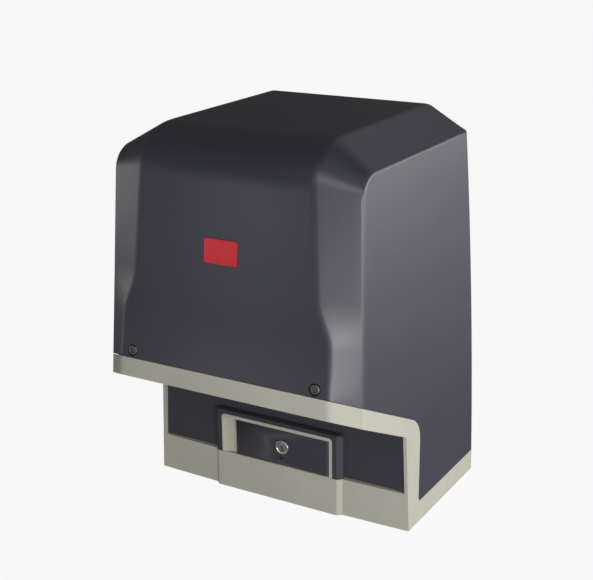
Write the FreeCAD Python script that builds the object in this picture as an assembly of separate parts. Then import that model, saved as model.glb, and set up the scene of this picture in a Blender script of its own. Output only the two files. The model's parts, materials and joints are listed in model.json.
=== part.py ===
import FreeCAD
import Part
import math
import os

# Sliding gate motor.  Millimetres, Z up, front face looking along -Y.
# The origin is the middle of the four foundation bolts, on the underside of the base.

V = FreeCAD.Vector

# ---------------------------------------------------------------- enclosure
base_width = 250.0            # outside width on the ground
side_draft = 0.0407           # each side leans in by this much per mm of height
unit_height = 333.6           # flat top of the hood
rear_bulge_y = 71.0           # furthest point of the bowed rear wall
rear_bulge_z = 110.0          # height of that point
rear_bow = 2.2e-4             # rear wall falls away by this times height squared

front_line_y = -152.9         # front of the hood on the centre line, at front_line_z
front_line_z = 200.0
front_lean = 0.083            # front face leans back per mm of height
skirt_top_z = 190.0           # below this height the front kicks forward
skirt_height = 44.0
skirt_kick = 2.5
front_bow_radius = 1178.0     # front face in plan
front_corner_depth = 45.0     # soft corner between front and top: length along Y
front_corner_height = 36.0    # and along Z
front_corner_power = 2.3

crease_line_y = -136.0        # crease between side panel and corner facet
crease_lean = 0.0574
crease_top_z = 312.7          # side panels end here, the roof facets begin
crease_corner_radius = 19.0
roof_half_width = 78.0        # flat part of the roof

panel_low_half = 97.3         # half width of the front centre panel at its foot
panel_low_z = 146.0
panel_low_taper = 0.05
panel_high_half = 77.8        # and at its top
panel_high_z = 301.0
panel_high_taper = 0.066
flare_start_z = 183.0         # the panel narrows between these two heights
flare_end_z = 219.0

hood_wall = 3.0
base_wall = 4.6
floor_thickness = 6.0
lip_inset = 4.0               # locating lip that stands inside the hood
lip_thickness = 2.0
lip_height = 8.0
seam = 0.5                    # gap between hood and base band

band_front_y = -156.5         # the band's height is measured here
band_top_z = 145.0
band_height = 16.8
band_slope = 0.497            # the band drops towards the rear
strip_top_y = -42.1           # side strip: where its edge meets the band line
strip_foot_y = -48.9
strip_corner_radius = 22.0
strip_foot_radius = 3.5
side_sill_z = 18.0            # hood side panels stop above this sill

# ---------------------------------------------------------------- lower front
base_front_y = -69.0          # front of the base at its corners
base_bow_radius = 3000.0
window_sill_z = 33.5          # foot of the dark front panel
window_edge = 3.0             # width of the base corner left beside the panel
panel_setback = 2.6
panel_thickness = 3.0
panel_clearance = 0.2
bulge_half = 60.0             # release block: half width of its front
bulge_foot_half = 64.0        # and where it meets the base
bulge_y = -74.3
bulge_top_z = 74.0
bulge_corner = 2.4
bulge_top_corner = 4.5        # rounding of its upper corners, seen from the front
bulge_edge = 1.6

rim_half = 55.4               # light frame around the release door
rim_top_z = 70.2
rim_width = 3.0
rim_corner = 3.5
frame_back_y = -62.0
scoop_width = 15.4            # finger scoop on the left of the door
scoop_depth = 7.0
door_gap = 0.25
door_face_y = -74.0
door_thickness = 3.4
door_barrel_radius = 3.2
door_lock_x = 6.3
door_lock_z = 51.0
hinge_pin_radius = 1.5
pin_foot_z = 27.5             # the pin stands in a hole of the base

cam_low_z = 46.0              # release cam between the two door knuckles
cam_high_z = 56.0
cam_hub_radius = 2.3
release_travel = 7.0          # how far the clutch ring is drawn for 90 degrees
follower_gap = 0.35           # between the cam and the rounded nose of the release rod
nose_low = 7.15               # hinge to the centre of that nose with the door fully open
yoke_rod_radius = 4.5

lock_radius = 6.4             # bezel of the key lock
lock_barrel_radius = 5.4
lock_depth = 15.0
plug_radius = 4.0
lock_pip_drop = 9.6           # shallow pip below the lock
lock_pip_radius = 2.0
lock_pip_depth = 2.4

# ---------------------------------------------------------------- drive line
shaft_z = 92.0                # output shaft height
shaft_radius = 11.0
journal_radius = 10.0
wheel_mid_y = 23.0
worm_module = 2.5
wheel_teeth = 32
worm_pitch_radius = 10.0
tooth_thinning = 0.32         # taken off each flank so the mesh runs free
wheel_face = 16.0
wheel_hub_radius = 26.0
pinion_module = 4.0
pinion_teeth = 15
pinion_front_y = 78.0
pinion_face = 26.0
pressure_angle = math.radians(20.0)

case_left = -76.0
case_right = 66.0
case_foot_z = 14.0
case_top_z = 148.0
case_front_y = -18.0
case_rear_y = 44.0
case_wall = 6.0
cover_plate = 8.0
gasket_thickness = 1.0
boss_radius = 30.0
boss_end_y = 73.0
slot_half = 40.0              # rear opening of the hood around the shaft boss
slot_shoulder_z = 120.0       # it narrows above this height
slot_top_half = 19.0          # where only the limit switch passes through
slot_top_z = 168.0

motor_radius = 34.0
motor_foot_z = 156.0
rotor_low_z = 178.0
rotor_top_z = 248.0
commutator_gap = 6.0          # from the rotor's windings to the commutator
commutator_length = 12.0
motor_can_top_z = rotor_top_z + commutator_gap + commutator_length + 2.0
motor_bearing_z = motor_can_top_z + 8.0
motor_bearing_width = 7.0
encoder_z = motor_can_top_z + 26.0
motor_wall = 3.0
press = 0.02                  # radial gap between pieces pressed together
running = 0.06                # radial gap between pieces that turn or slide

# ---------------------------------------------------------------- fixings
foundation_dx = 200.0
foundation_dy = 90.0
foundation_hole_radius = 5.5
foundation_slot = 9.0
hood_screw_x = 85.3
hood_screw_z = 151.3
hood_screw_head = 4.2
hood_screw_shank = 2.0
lift_angle = 6.0              # the hood lifts off leaning back by this angle
badge_width = 30.0
badge_height = 19.5
badge_z = 245.5

worm_x = -(worm_pitch_radius + worm_module * wheel_teeth / 2.0)
hinge_x = rim_half - rim_width - door_gap - door_barrel_radius
hinge_y = door_face_y + door_barrel_radius
yoke_x = hinge_x
yoke_z = (cam_low_z + cam_high_z) / 2.0
yoke_nose_y = hinge_y + nose_low + release_travel


# ================================================================ helpers
def box(x0, x1, y0, y1, z0, z1):
    return Part.makeBox(x1 - x0, y1 - y0, z1 - z0, V(x0, y0, z0))


def rod_x(radius, y, z, x0, x1):
    return Part.makeCylinder(radius, x1 - x0, V(x0, y, z), V(1, 0, 0))


def rod_y(radius, x, z, y0, y1):
    return Part.makeCylinder(radius, y1 - y0, V(x, y0, z), V(0, 1, 0))


def rod_z(radius, x, y, z0, z1):
    return Part.makeCylinder(radius, z1 - z0, V(x, y, z0), V(0, 0, 1))


def ring_y(outer, inner, x, z, y0, y1):
    return rod_y(outer, x, z, y0, y1).cut(rod_y(inner, x, z, y0 - 1, y1 + 1))


def ring_z(outer, inner, x, y, z0, z1):
    return rod_z(outer, x, y, z0, z1).cut(rod_z(inner, x, y, z0 - 1, z1 + 1))


def fuse(first, *others):
    result = first
    for other in others:
        result = result.fuse(other)
    return result.removeSplitter()


def cut(first, *others):
    result = first
    for other in others:
        result = result.cut(other)
    return result


def rounded_wire(points, radii, place):
    """Closed outline through 2-D points, each corner rounded by its own radius."""
    count = len(points)
    starts, ends, middles = [], [], []
    for i in range(count):
        here = V(points[i][0], points[i][1], 0)
        back = (V(points[i - 1][0], points[i - 1][1], 0) - here).normalize()
        ahead = V(points[(i + 1) % count][0], points[(i + 1) % count][1], 0) - here
        ahead.normalize()
        radius = radii[i] if isinstance(radii, (list, tuple)) else radii
        if radius <= 0:
            starts.append(here)
            ends.append(here)
            middles.append(None)
            continue
        half = back.getAngle(ahead) / 2.0
        reach = radius / math.tan(half)
        bisector = (back + ahead).normalize()
        starts.append(here + back * reach)
        ends.append(here + ahead * reach)
        middles.append(here + bisector * (radius / math.sin(half) - radius))
    edges = []
    for i in range(count):
        if middles[i] is not None:
            arc = Part.Arc(place(starts[i]), place(middles[i]), place(ends[i]))
            edges.append(arc.toShape())
        following = starts[(i + 1) % count]
        if (following - ends[i]).Length > 1e-6:
            edges.append(Part.makeLine(place(ends[i]), place(following)))
    return Part.Wire(edges)


def prism_x(points, x0, x1, radii=0):
    """Outline given as (y, z), extruded along X."""
    wire = rounded_wire(points, radii, lambda p: V(x0, p.x, p.y))
    return Part.Face(wire).extrude(V(x1 - x0, 0, 0))


def prism_y(points, y0, y1, radii=0):
    """Outline given as (x, z), extruded along Y."""
    wire = rounded_wire(points, radii, lambda p: V(p.x, y0, p.y))
    return Part.Face(wire).extrude(V(0, y1 - y0, 0))


def prism_z(points, z0, z1, radii=0):
    """Outline given as (x, y), extruded along Z."""
    wire = rounded_wire(points, radii, lambda p: V(p.x, p.y, z0))
    return Part.Face(wire).extrude(V(0, 0, z1 - z0))


def rectangle(x0, x1, y0, y1):
    return [(x0, y0), (x1, y0), (x1, y1), (x0, y1)]


def circle_points(count, radius, phase=0.0):
    step = 2 * math.pi / count
    return [(radius * math.cos(phase + i * step), radius * math.sin(phase + i * step))
            for i in range(count)]


def socket_screw(head_radius, head_height, shank_radius, length):
    """Hex-socket screw along -Z, underside of the head at z = 0."""
    head = rod_z(head_radius, 0, 0, 0, head_height)
    socket = prism_z(circle_points(6, head_radius * 0.55), head_height * 0.4, head_height + 1)
    return fuse(head.cut(socket), rod_z(shank_radius, 0, 0, -length, 0))


def placed(shape, position, axis=None, angle=0.0):
    copy = shape.copy()
    if axis is not None:
        copy.rotate(V(0, 0, 0), axis, angle)
    copy.translate(V(*position))
    return copy


nodes = {}


def keep(name, shape):
    solids = shape.Solids
    whole = solids[0] if len(solids) == 1 else Part.makeCompound(solids)
    nodes[name] = whole
    return whole


# ================================================================ outer skin
def smooth_step(value, low, high):
    t = min(max((value - low) / (high - low), 0.0), 1.0)
    return t * t * (3 - 2 * t)


def side_half(z):
    return base_width / 2 - side_draft * z


def rear_y(z):
    return rear_bulge_y - rear_bow * (z - rear_bulge_z) ** 2


def front_y(z, top):
    """Front of the hood on its centre line, with the soft corner under the top."""
    y = front_line_y + front_lean * (z - front_line_z)
    if z < skirt_top_z:
        y -= skirt_kick * ((skirt_top_z - max(z, panel_low_z)) / skirt_height) ** 2
    start = top - front_corner_height
    if z > start:
        rise = min((z - start) / front_corner_height, 1.0)
        run = (1 - rise ** front_corner_power) ** (1 / front_corner_power)
        y += front_corner_depth * (1 - run)
    return y


def panel_half(z):
    low = panel_low_half - panel_low_taper * (z - panel_low_z)
    high = panel_high_half + panel_high_taper * max(panel_high_z - z, 0.0)
    return low + (high - low) * smooth_step(z, flare_start_z, flare_end_z)


def crease_point(z, top, roof_crease, inset):
    """Outer end of the corner facet at one height: (x, y)."""
    y = crease_line_y + crease_lean * (z - front_line_z)
    start = roof_crease - crease_corner_radius
    line_end = crease_line_y + crease_lean * (start - front_line_z)
    if z > start:
        rise = min((z - start) / crease_corner_radius, 1.0)
        y = line_end + crease_corner_radius * (1 - math.sqrt(1 - rise * rise))
    if z <= roof_crease:
        return side_half(z) - inset, y + 0.6 * inset
    share = (z - roof_crease) / (top - roof_crease)
    x_low = side_half(roof_crease) - inset
    x = x_low + (roof_half_width - 0.25 * inset - x_low) * share
    roof_start = front_y(top, top) + 1.5
    return x, line_end + crease_corner_radius + (roof_start - line_end
                                                 - crease_corner_radius) * share + 0.6 * inset


def skin_section(z, inset):
    top = unit_height - inset
    roof_crease = crease_top_z - 0.7 * inset
    edge_x = min(panel_half(z), panel_half(crease_top_z)) if z > crease_top_z else panel_half(z)
    edge_x -= 0.25 * inset
    centre_y = front_y(z, top) + inset
    edge_y = centre_y + edge_x ** 2 / (2 * front_bow_radius)
    out_x, out_y = crease_point(z, top, roof_crease, inset)
    back = rear_y(z) - inset
    left = [V(-out_x, back, z), V(-out_x, out_y, z), V(-edge_x, edge_y, z)]
    right = [V(edge_x, edge_y, z), V(out_x, out_y, z), V(out_x, back, z)]
    edges = [Part.makeLine(left[0], left[1]), Part.makeLine(left[1], left[2])]
    edges.append(Part.Arc(left[2], V(0, centre_y, z), right[0]).toShape())
    edges += [Part.makeLine(right[0], right[1]), Part.makeLine(right[1], right[2])]
    edges.append(Part.makeLine(right[2], left[0]))
    return Part.Wire(edges)


def skin_levels(bottom, inset):
    """Heights of the sections: closer where the outline turns."""
    top = unit_height - inset
    crease = crease_top_z - 0.7 * inset
    levels = [bottom, 50.0, 100.0, panel_low_z]
    levels += [panel_low_z + skirt_height * i / 4 for i in range(1, 4)]
    flare = flare_end_z - flare_start_z
    levels += [flare_start_z + flare * i / 6 for i in range(7)]
    corner = crease - crease_corner_radius
    levels += [245.0, 270.0, corner]
    levels += [corner + crease_corner_radius * math.sin(math.radians(a))
               for a in (20, 38, 54, 70, 90)]
    rest = top - crease
    levels += [crease + rest * share for share in (0.25, 0.48, 0.68, 0.83, 0.93, 0.985, 1.0)]
    levels = sorted(levels)
    return [z for i, z in enumerate(levels) if i == 0 or z - levels[i - 1] > 0.2]


def skin(inset, bottom=0.0):
    wires = [skin_section(z, inset) for z in skin_levels(bottom, inset)]
    return Part.makeLoft(wires, True, True)


def band_z(y, drop=0.0):
    """Height of the slanted band edge at one depth."""
    return band_top_z - band_slope * (y - band_front_y) - drop


def hood_side(gap):
    """Everything the hood may occupy, seen from the side, as a prism along X."""
    lift = gap * math.hypot(1.0, band_slope)
    far = -260.0
    points = [(far, band_z(far) + lift),
              (strip_top_y + gap, band_z(strip_top_y + gap) + lift),
              (strip_foot_y + gap, side_sill_z + gap),
              (160.0, side_sill_z + gap), (160.0, 420.0), (far, 420.0)]
    radii = [0, strip_corner_radius, strip_foot_radius, 0, 0, 0]
    return prism_x(points, -200, 200, radii)


def front_cut(inset):
    """Space in front of the lower body and under the slanted overhang."""
    plan_half = 160.0
    sag = plan_half ** 2 / (2 * base_bow_radius)
    corner_sag = (base_width / 2) ** 2 / (2 * base_bow_radius)
    edge_y = base_front_y + sag - corner_sag + inset
    mid_y = base_front_y - corner_sag + inset
    arc = Part.Arc(V(-plan_half, edge_y, -20), V(0, mid_y, -20), V(plan_half, edge_y, -20))
    far = -300.0
    edges = [arc.toShape(), Part.makeLine(V(plan_half, edge_y, -20), V(plan_half, far, -20)),
             Part.makeLine(V(plan_half, far, -20), V(-plan_half, far, -20)),
             Part.makeLine(V(-plan_half, far, -20), V(-plan_half, edge_y, -20))]
    block = Part.Face(Part.Wire(edges)).extrude(V(0, 0, 300))
    shift = inset * math.hypot(1.0, band_slope)
    under = [(far - 5, -30), (0, -30), (0, band_z(0, band_height) + shift),
             (far - 5, band_z(far - 5, band_height) + shift)]
    return block.common(prism_x(under, -200, 200))


skin_outer = skin(0.0)
skin_hood_inner = skin(hood_wall, -5.0)
skin_base_inner = skin(base_wall, -5.0)

# ================================================================ hood
tilt = math.radians(lift_angle)


def along_screw(shape, side):
    """Puts a shape built along Z onto the hood screw axis, head towards the front."""
    copy = shape.copy()
    copy.rotate(V(0, 0, 0), V(1, 0, 0), 90.0 - lift_angle)
    copy.translate(V(side * hood_screw_x, screw_seat_y, hood_screw_z))
    return copy


screw_surface_y = front_y(hood_screw_z, unit_height) + hood_screw_x ** 2 / (2 * front_bow_radius)
screw_seat_y = screw_surface_y + 2.3      # underside of the screw heads
tab_distance = 6.6                         # from the screw seat to the slotted tab
tab_thickness = 3.0
tab_gap = 0.3

hood = skin_outer.cut(skin_hood_inner).common(hood_side(seam))
rear_slot = [(-slot_half, -20), (slot_half, -20), (slot_half, slot_shoulder_z),
             (slot_top_half, slot_top_z), (-slot_top_half, slot_top_z),
             (-slot_half, slot_shoulder_z)]
hood = hood.cut(prism_y(rear_slot, 40, 100, [0, 0, 14, 6, 6, 14]))
for side in (-1, 1):
    boss = along_screw(rod_z(6.4, 0, 0, -(tab_distance - tab_gap), 3.0), side)
    hood = hood.fuse(boss.common(skin_outer).common(hood_side(seam)))
for side in (-1, 1):
    hood = hood.cut(along_screw(rod_z(hood_screw_head + 0.8, 0, 0, 0, 12), side))
    hood = hood.cut(along_screw(rod_z(hood_screw_shank + 0.3, 0, 0, -20, 1), side))

badge_y = front_y(badge_z, unit_height)
badge_lean = math.degrees(math.atan(front_lean))


def badge_block(width, height, depth_in, depth_out):
    points = rectangle(-width / 2, width / 2, -height / 2, height / 2)
    block = prism_y(points, -depth_out, depth_in, 1.2)
    block.rotate(V(0, 0, 0), V(1, 0, 0), -badge_lean)
    block.translate(V(0, badge_y, badge_z))
    return block


hood = hood.cut(badge_block(badge_width + 0.4, badge_height + 0.4, 1.0, 10))
keep("hood", hood)
keep("badge_plate", badge_block(badge_width, badge_height, 0.95, 0.9))

screw = socket_screw(hood_screw_head, 2.6, hood_screw_shank, 15.0)
keep("hood_screws", Part.makeCompound([along_screw(screw, side) for side in (-1, 1)]))
nut_blank = box(-4.2, 4.2, -4.2, 4.2, 0, 3.2)
nut_blank = nut_blank.cut(rod_z(hood_screw_shank + press, 0, 0, -1, 5))
nut_blank.translate(V(0, 0, -(tab_distance + tab_thickness + tab_gap + 3.2)))
keep("hood_nuts", Part.makeCompound([along_screw(nut_blank, side) for side in (-1, 1)]))

# ================================================================ base
lower = skin_outer.cut(front_cut(0.0))
hollow = skin_base_inner.cut(front_cut(base_wall))
hollow = hollow.cut(box(-200, 200, -300, 300, -30, floor_thickness))
base = lower.cut(hollow).cut(hood_side(0.0))


bulge_back_y = base_front_y + 6.0
bulge_foot_y = base_front_y - 1.5
bulge_plan = [(-bulge_foot_half, bulge_back_y), (-bulge_foot_half, bulge_foot_y),
              (-bulge_half, bulge_y), (bulge_half, bulge_y),
              (bulge_foot_half, bulge_foot_y), (bulge_foot_half, bulge_back_y)]
bulge_radii = [0, 1.0, bulge_corner, bulge_corner, 1.0, 0]
block = prism_z(bulge_plan, 0, window_sill_z, bulge_radii)
base = base.fuse(block)
pocket = prism_z(rectangle(-bulge_half + 4, bulge_half - 4, bulge_y + base_wall, -60),
                 floor_thickness, window_sill_z + 1)
base = base.cut(pocket)

lip_core = hood_side(-lip_height).cut(hood_side(lip_height))
lip = skin(lip_inset, -5.0).cut(skin(lip_inset + lip_thickness, -5.0)).common(lip_core)
lip = lip.cut(box(-200, 200, -300, 300, -30, floor_thickness - 2))
lip = lip.cut(box(-slot_half - 6, slot_half + 6, 30, 100, -30, 400))
for side in (-1, 1):
    lip = lip.cut(along_screw(box(-10, 10, -12, 60, -20, 20), side))
base = base.fuse(lip)

window = skin(window_edge, -5.0).common(
    prism_x([(-90, window_sill_z), (base_front_y + 9, window_sill_z),
             (base_front_y + 9, band_z(base_front_y + 9, band_height) + 1),
             (-90, band_z(-90, band_height) + 1)], -200, 200))
window = window.cut(front_cut(0.0)).cut(
    prism_x([(-200, band_z(-200, band_height)), (0, band_z(0, band_height)),
             (0, 300), (-200, 300)], -200, 200))
base = base.cut(window)

# pads that carry the gear case
case_lugs = [(case_left - 12, -8.0), (case_left - 12, 34.0),
             (case_right + 12, -8.0), (case_right + 12, 34.0)]
for x, y in case_lugs:
    base = base.fuse(rod_z(11.0, x, y, 1.0, case_foot_z))
for x, y in case_lugs:
    base = base.cut(rod_z(4.0 + press, x, y, 3.0, case_foot_z + 1))

# posts that carry the control board tray
tray_post_x = 70.0
tray_back_y = -113.0
for side in (-1, 1):
    post = box(side * tray_post_x - 6, side * tray_post_x + 6, tray_back_y, tray_back_y + 10,
               107, 152)
    base = base.fuse(post.common(skin_outer.cut(front_cut(2.0))))
    base = base.cut(rod_y(1.6 + press, side * tray_post_x, 146, tray_back_y - 1,
                          tray_back_y + 9))

# slotted tabs for the two hood screws
for side in (-1, 1):
    tab = box(-7, 7, -26, 7, -(tab_distance + tab_thickness), -tab_distance)
    tab = tab.cut(box(-2.4, 2.4, -2.4, 20, -40, 10))
    tab = along_screw(tab, side)
    base = base.fuse(tab.common(skin_outer.cut(front_cut(2.0))))

# foundation slots and the cable opening in the floor
for sx in (-1, 1):
    for sy in (-1, 1):
        x = sx * foundation_dx / 2
        y = sy * foundation_dy / 2
        slot = fuse(rod_z(foundation_hole_radius, x - foundation_slot / 2, y, -1, 20),
                    rod_z(foundation_hole_radius, x + foundation_slot / 2, y, -1, 20),
                    box(x - foundation_slot / 2, x + foundation_slot / 2,
                        y - foundation_hole_radius, y + foundation_hole_radius, -1, 20))
        base = base.cut(slot)
cable_x = -30.0
cable_y = -47.0
cable_opening = rectangle(cable_x - 34, cable_x + 34, cable_y - 12, cable_y + 12)
base = base.cut(prism_z(cable_opening, -1, 20, 5.0))
base = base.cut(rod_z(hinge_pin_radius + press, hinge_x, hinge_y, pin_foot_z, window_sill_z + 1))
keep("base_shell", base)

# rubber grommet that seals the cable opening
collar = rectangle(cable_x - 37, cable_x + 37, cable_y - 15, cable_y + 15)
neck = rectangle(cable_x - 33.9, cable_x + 33.9, cable_y - 11.9, cable_y + 11.9)
grommet = fuse(prism_z(collar, floor_thickness + 0.05, floor_thickness + 3, 6.0),
               prism_z(neck, 2.0, floor_thickness + 1, 4.9))
for k in (-1, 0, 1):
    x = cable_x + 22 * k
    grommet = grommet.fuse(Part.makeCone(8.5, 5.0, 9, V(x, cable_y, floor_thickness + 2.5)))
for k in (-1, 0, 1):
    x = cable_x + 22 * k
    grommet = grommet.cut(rod_z(3.2, x, cable_y, 4.0, 30))
keep("cable_grommet", grommet)

# ================================================================ front panel
panel_front_y = base_front_y + panel_setback
panel_zone = prism_x([(panel_front_y, window_sill_z + panel_clearance),
                      (panel_front_y + panel_thickness, window_sill_z + panel_clearance),
                      (panel_front_y + panel_thickness,
                       band_z(panel_front_y + panel_thickness, band_height) - 0.3),
                      (panel_front_y, band_z(panel_front_y, band_height) - 0.3)], -200, 200)
panel = skin(window_edge + panel_clearance, -5.0).common(panel_zone)
bulge = prism_z(bulge_plan, window_sill_z + panel_clearance, bulge_top_z, bulge_radii)
top_edges = [e for e in bulge.Edges
             if abs(e.BoundBox.ZMin - bulge_top_z) < 0.01 and e.BoundBox.YMax < base_front_y]
bulge = bulge.makeFillet(bulge_edge, top_edges)
bulge = bulge.common(prism_y(rectangle(-bulge_foot_half, bulge_foot_half, 0, bulge_top_z),
                             -100, 0, [0, 0, bulge_top_corner, bulge_top_corner]))
bulge = bulge.cut(box(-200, 200, panel_front_y + panel_thickness, 0, -10, 200))
panel = panel.fuse(bulge)
rim_gap = 0.15
rim_pocket = prism_y(rectangle(-rim_half - rim_gap, rim_half + rim_gap, 0, rim_top_z + rim_gap),
                     -100, 0, rim_corner + rim_gap)
panel = panel.cut(rim_pocket)
keep("front_panel", panel)

# ================================================================ release frame
frame_front_y = bulge_y + 0.1
door_left = -rim_half + scoop_width
door_low_z = window_sill_z + 0.9
door_high_z = rim_top_z - rim_width - door_gap
frame_low_z = window_sill_z + rim_gap
frame = prism_y(rectangle(-rim_half, rim_half, frame_low_z, rim_top_z),
                frame_front_y, frame_back_y, [0.2, 0.2, rim_corner, rim_corner])
door_space = box(door_left - 1.0, rim_half - rim_width, -100, hinge_y + door_barrel_radius + 0.6,
                 frame_low_z + 0.4, door_high_z + door_gap)
frame = frame.cut(door_space)
scoop = prism_z([(-rim_half + 1.2, -80), (-rim_half + 1.2, frame_front_y + 0.4),
                 (door_left + 6, frame_front_y + scoop_depth + 0.9), (door_left + 6, -80)],
                frame_low_z + 0.4, door_high_z + door_gap)
frame = frame.cut(scoop)
lock_bore = rod_y(lock_barrel_radius + 3.2, door_lock_x, door_lock_z, -75, -50)
frame = frame.cut(lock_bore)
tongue_length = 13.0
tongue_half = 3.0
frame = frame.cut(box(door_lock_x - tongue_half - 2.5, door_lock_x + tongue_half + 1.5, -69.5, -50,
                      door_lock_z, door_lock_z + tongue_length + 2.0))
cam_slot = box(hinge_x - 12.5, rim_half - 1.0, hinge_y - 1.0, -50,
               cam_low_z - 0.6, cam_high_z + 0.6)
frame = frame.cut(cam_slot)
frame = frame.cut(rod_z(hinge_pin_radius + press, hinge_x, hinge_y, 20, rim_top_z - 0.8))
keep("release_frame", frame)

# ================================================================ release door
door = box(door_left, hinge_x, door_face_y, door_face_y + door_thickness, door_low_z, door_high_z)
door = door.fuse(rod_z(door_barrel_radius, hinge_x, hinge_y, door_low_z, door_high_z))
outer_edges = [e for e in door.Edges
               if e.BoundBox.YMax < door_face_y + 0.01 and e.BoundBox.XMax < door_left + 0.01]
door = door.makeFillet(0.9, outer_edges)
cavity = cam_hub_radius + 0.2
door = door.cut(rod_z(cavity, hinge_x, hinge_y, cam_low_z - 0.2, cam_high_z + 0.2))
door = door.cut(box(hinge_x - cavity, hinge_x + 10, hinge_y - 0.2, -50,
                    cam_low_z - 0.2, cam_high_z + 0.2))
nose_room = door_barrel_radius * math.sqrt(0.5)     # the open door lets the nose in here
door = door.cut(box(hinge_x + nose_room, hinge_x + 10, hinge_y - nose_room, -50,
                    cam_low_z - 0.2, cam_high_z + 0.2))
door = door.cut(rod_z(hinge_pin_radius + press, hinge_x, hinge_y, 20, 90))
door = door.cut(rod_y(lock_barrel_radius + press, door_lock_x, door_lock_z, -90, -50))
door = door.cut(rod_y(lock_radius + 0.15, door_lock_x, door_lock_z, -90, door_face_y + 0.9))
door = door.cut(rod_y(lock_pip_radius, door_lock_x - 1.0, door_lock_z - lock_pip_drop,
                      -90, door_face_y + lock_pip_depth))
keep("release_door", door)
keep("hinge_pin", rod_z(hinge_pin_radius, hinge_x, hinge_y, pin_foot_z + 0.1, rim_top_z - 1.0))


def cam_flank(turn):
    """Cam surface that keeps the rod's nose at its ratio: one point, in plan, per door angle."""
    rate = release_travel / (math.pi / 2)
    reach = nose_low + rate * turn
    out = V(math.cos(turn), math.sin(turn), 0)
    along = V(-math.sin(turn), math.cos(turn), 0)
    normal = (out * reach - along * rate).normalize()
    return out * reach - normal * (yoke_rod_radius + follower_gap)


def cam_block(z0, z1):
    """Lobe that rises evenly over a quarter turn, with a round hub behind it."""
    start_turn = -0.15
    end_turn = math.pi / 2 + 0.1
    steps = 18
    centre = V(hinge_x, hinge_y, z0)
    points = [centre + cam_flank(start_turn + (end_turn - start_turn) * i / steps)
              for i in range(steps + 1)]
    curve = Part.BSplineCurve()
    curve.interpolate(points)
    heel = centre + V(-cam_hub_radius, 0, 0)
    under = centre + V(0, -cam_hub_radius, 0)
    toe = centre + V(cam_hub_radius, 0, 0)
    edges = [curve.toShape(), Part.makeLine(points[-1], heel),
             Part.Arc(heel, under, toe).toShape(), Part.makeLine(toe, points[0])]
    return Part.Face(Part.Wire(edges)).extrude(V(0, 0, z1 - z0))


cam = cam_block(cam_low_z, cam_high_z)
cam = cam.cut(rod_z(hinge_pin_radius + press, hinge_x, hinge_y, 20, 90))
keep("release_cam", cam)

# key lock
lock_face_y = door_face_y - 0.9
barrel = rod_y(lock_barrel_radius, door_lock_x, door_lock_z, door_face_y + 0.6,
               lock_face_y + lock_depth)
bezel = Part.makeCone(lock_radius - 0.9, lock_radius, 0.8, V(door_lock_x, lock_face_y, door_lock_z),
                      V(0, 1, 0))
bezel = bezel.fuse(rod_y(lock_radius, door_lock_x, door_lock_z, lock_face_y + 0.8,
                         door_face_y + 0.85))
housing = fuse(barrel, bezel)
housing = housing.cut(rod_y(plug_radius + running, door_lock_x, door_lock_z, -90, -40))
keep("lock_housing", housing)
plug_end_y = lock_face_y + lock_depth + 0.4
plug = rod_y(plug_radius, door_lock_x, door_lock_z, lock_face_y + 0.3, plug_end_y)
plug = plug.fuse(box(door_lock_x - 2, door_lock_x + 2, plug_end_y - 0.1, plug_end_y + 2.4,
                     door_lock_z - 2, door_lock_z + 2))
key_slot_half = 0.7
key_slot_reach = plug_radius - 1.0
plug = plug.cut(box(door_lock_x - key_slot_half, door_lock_x + key_slot_half,
                    -90, lock_face_y + 9,
                    door_lock_z - key_slot_reach, door_lock_z + key_slot_reach))
keep("lock_plug", plug)
tongue = box(door_lock_x - 4.5, door_lock_x + 4.5, plug_end_y + 0.05, plug_end_y + 2.2,
             door_lock_z - 4.5, door_lock_z + 4.5)
tongue = tongue.fuse(box(door_lock_x - tongue_half, door_lock_x + tongue_half,
                         plug_end_y + 0.05, plug_end_y + 2.2,
                         door_lock_z, door_lock_z + tongue_length))
tongue = tongue.cut(box(door_lock_x - 2 - press, door_lock_x + 2 + press, -90, 0,
                        door_lock_z - 2 - press, door_lock_z + 2 + press))
keep("lock_tongue", tongue)

# ================================================================ gear case
def bolt_ring():
    return [(case_left + 9, 26.0), (case_left + 9, 87.0), (case_left + 9, 139.0),
            (case_right - 9, 26.0), (case_right - 9, 90.0), (case_right - 9, 139.0),
            (-4.0, 24.0), (10.0, 141.5)]


case_outline = [(case_left, case_foot_z + 4), (case_right, case_foot_z + 4),
                (case_right, case_top_z), (case_left, case_top_z)]
body = prism_y(case_outline, case_front_y, case_rear_y, [8, 8, 10, 10])
wheel_tip = worm_module * wheel_teeth / 2 + worm_module
wheel_chamber = rod_y(wheel_tip + 3.5, 0, shaft_z, case_front_y - 1, case_rear_y - case_wall)
worm_chamber = rod_z(16.0, worm_x, wheel_mid_y, 44.0, 134.0)
front_chamber = prism_y([(-40, 40), (hinge_x + 7, 40), (hinge_x + 7, 64), (40, 128), (-40, 128)],
                        case_front_y - 1, 8.0, 5.0)
body = body.cut(wheel_chamber).cut(worm_chamber).cut(front_chamber)
flange_half = slot_half + 6.0
neck_half = 15.0              # the switch neck passes between motor and transformer
neck_top_z = slot_top_z + 3.0
flange_points = [(-flange_half, 20), (flange_half, 20), (flange_half, slot_shoulder_z),
                 (31, case_top_z - 1), (neck_half, case_top_z - 1), (neck_half, neck_top_z),
                 (-neck_half, neck_top_z), (-neck_half, case_top_z - 1), (-31, case_top_z - 1),
                 (-flange_half, slot_shoulder_z)]
body = body.fuse(prism_y(flange_points, case_rear_y - 4, case_rear_y + 5,
                         [4, 4, 10, 0, 0, 3, 3, 0, 0, 10]))
body = body.fuse(rod_y(boss_radius, 0, shaft_z, case_rear_y, boss_end_y))
for angle in range(30, 360, 60):
    rib = box(-2.5, 2.5, case_rear_y + 4, boss_end_y - 8, 0, 42)
    rib.rotate(V(0, 0, 0), V(0, 1, 0), angle)
    rib.translate(V(0, 0, shaft_z))
    body = body.fuse(rib)
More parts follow.
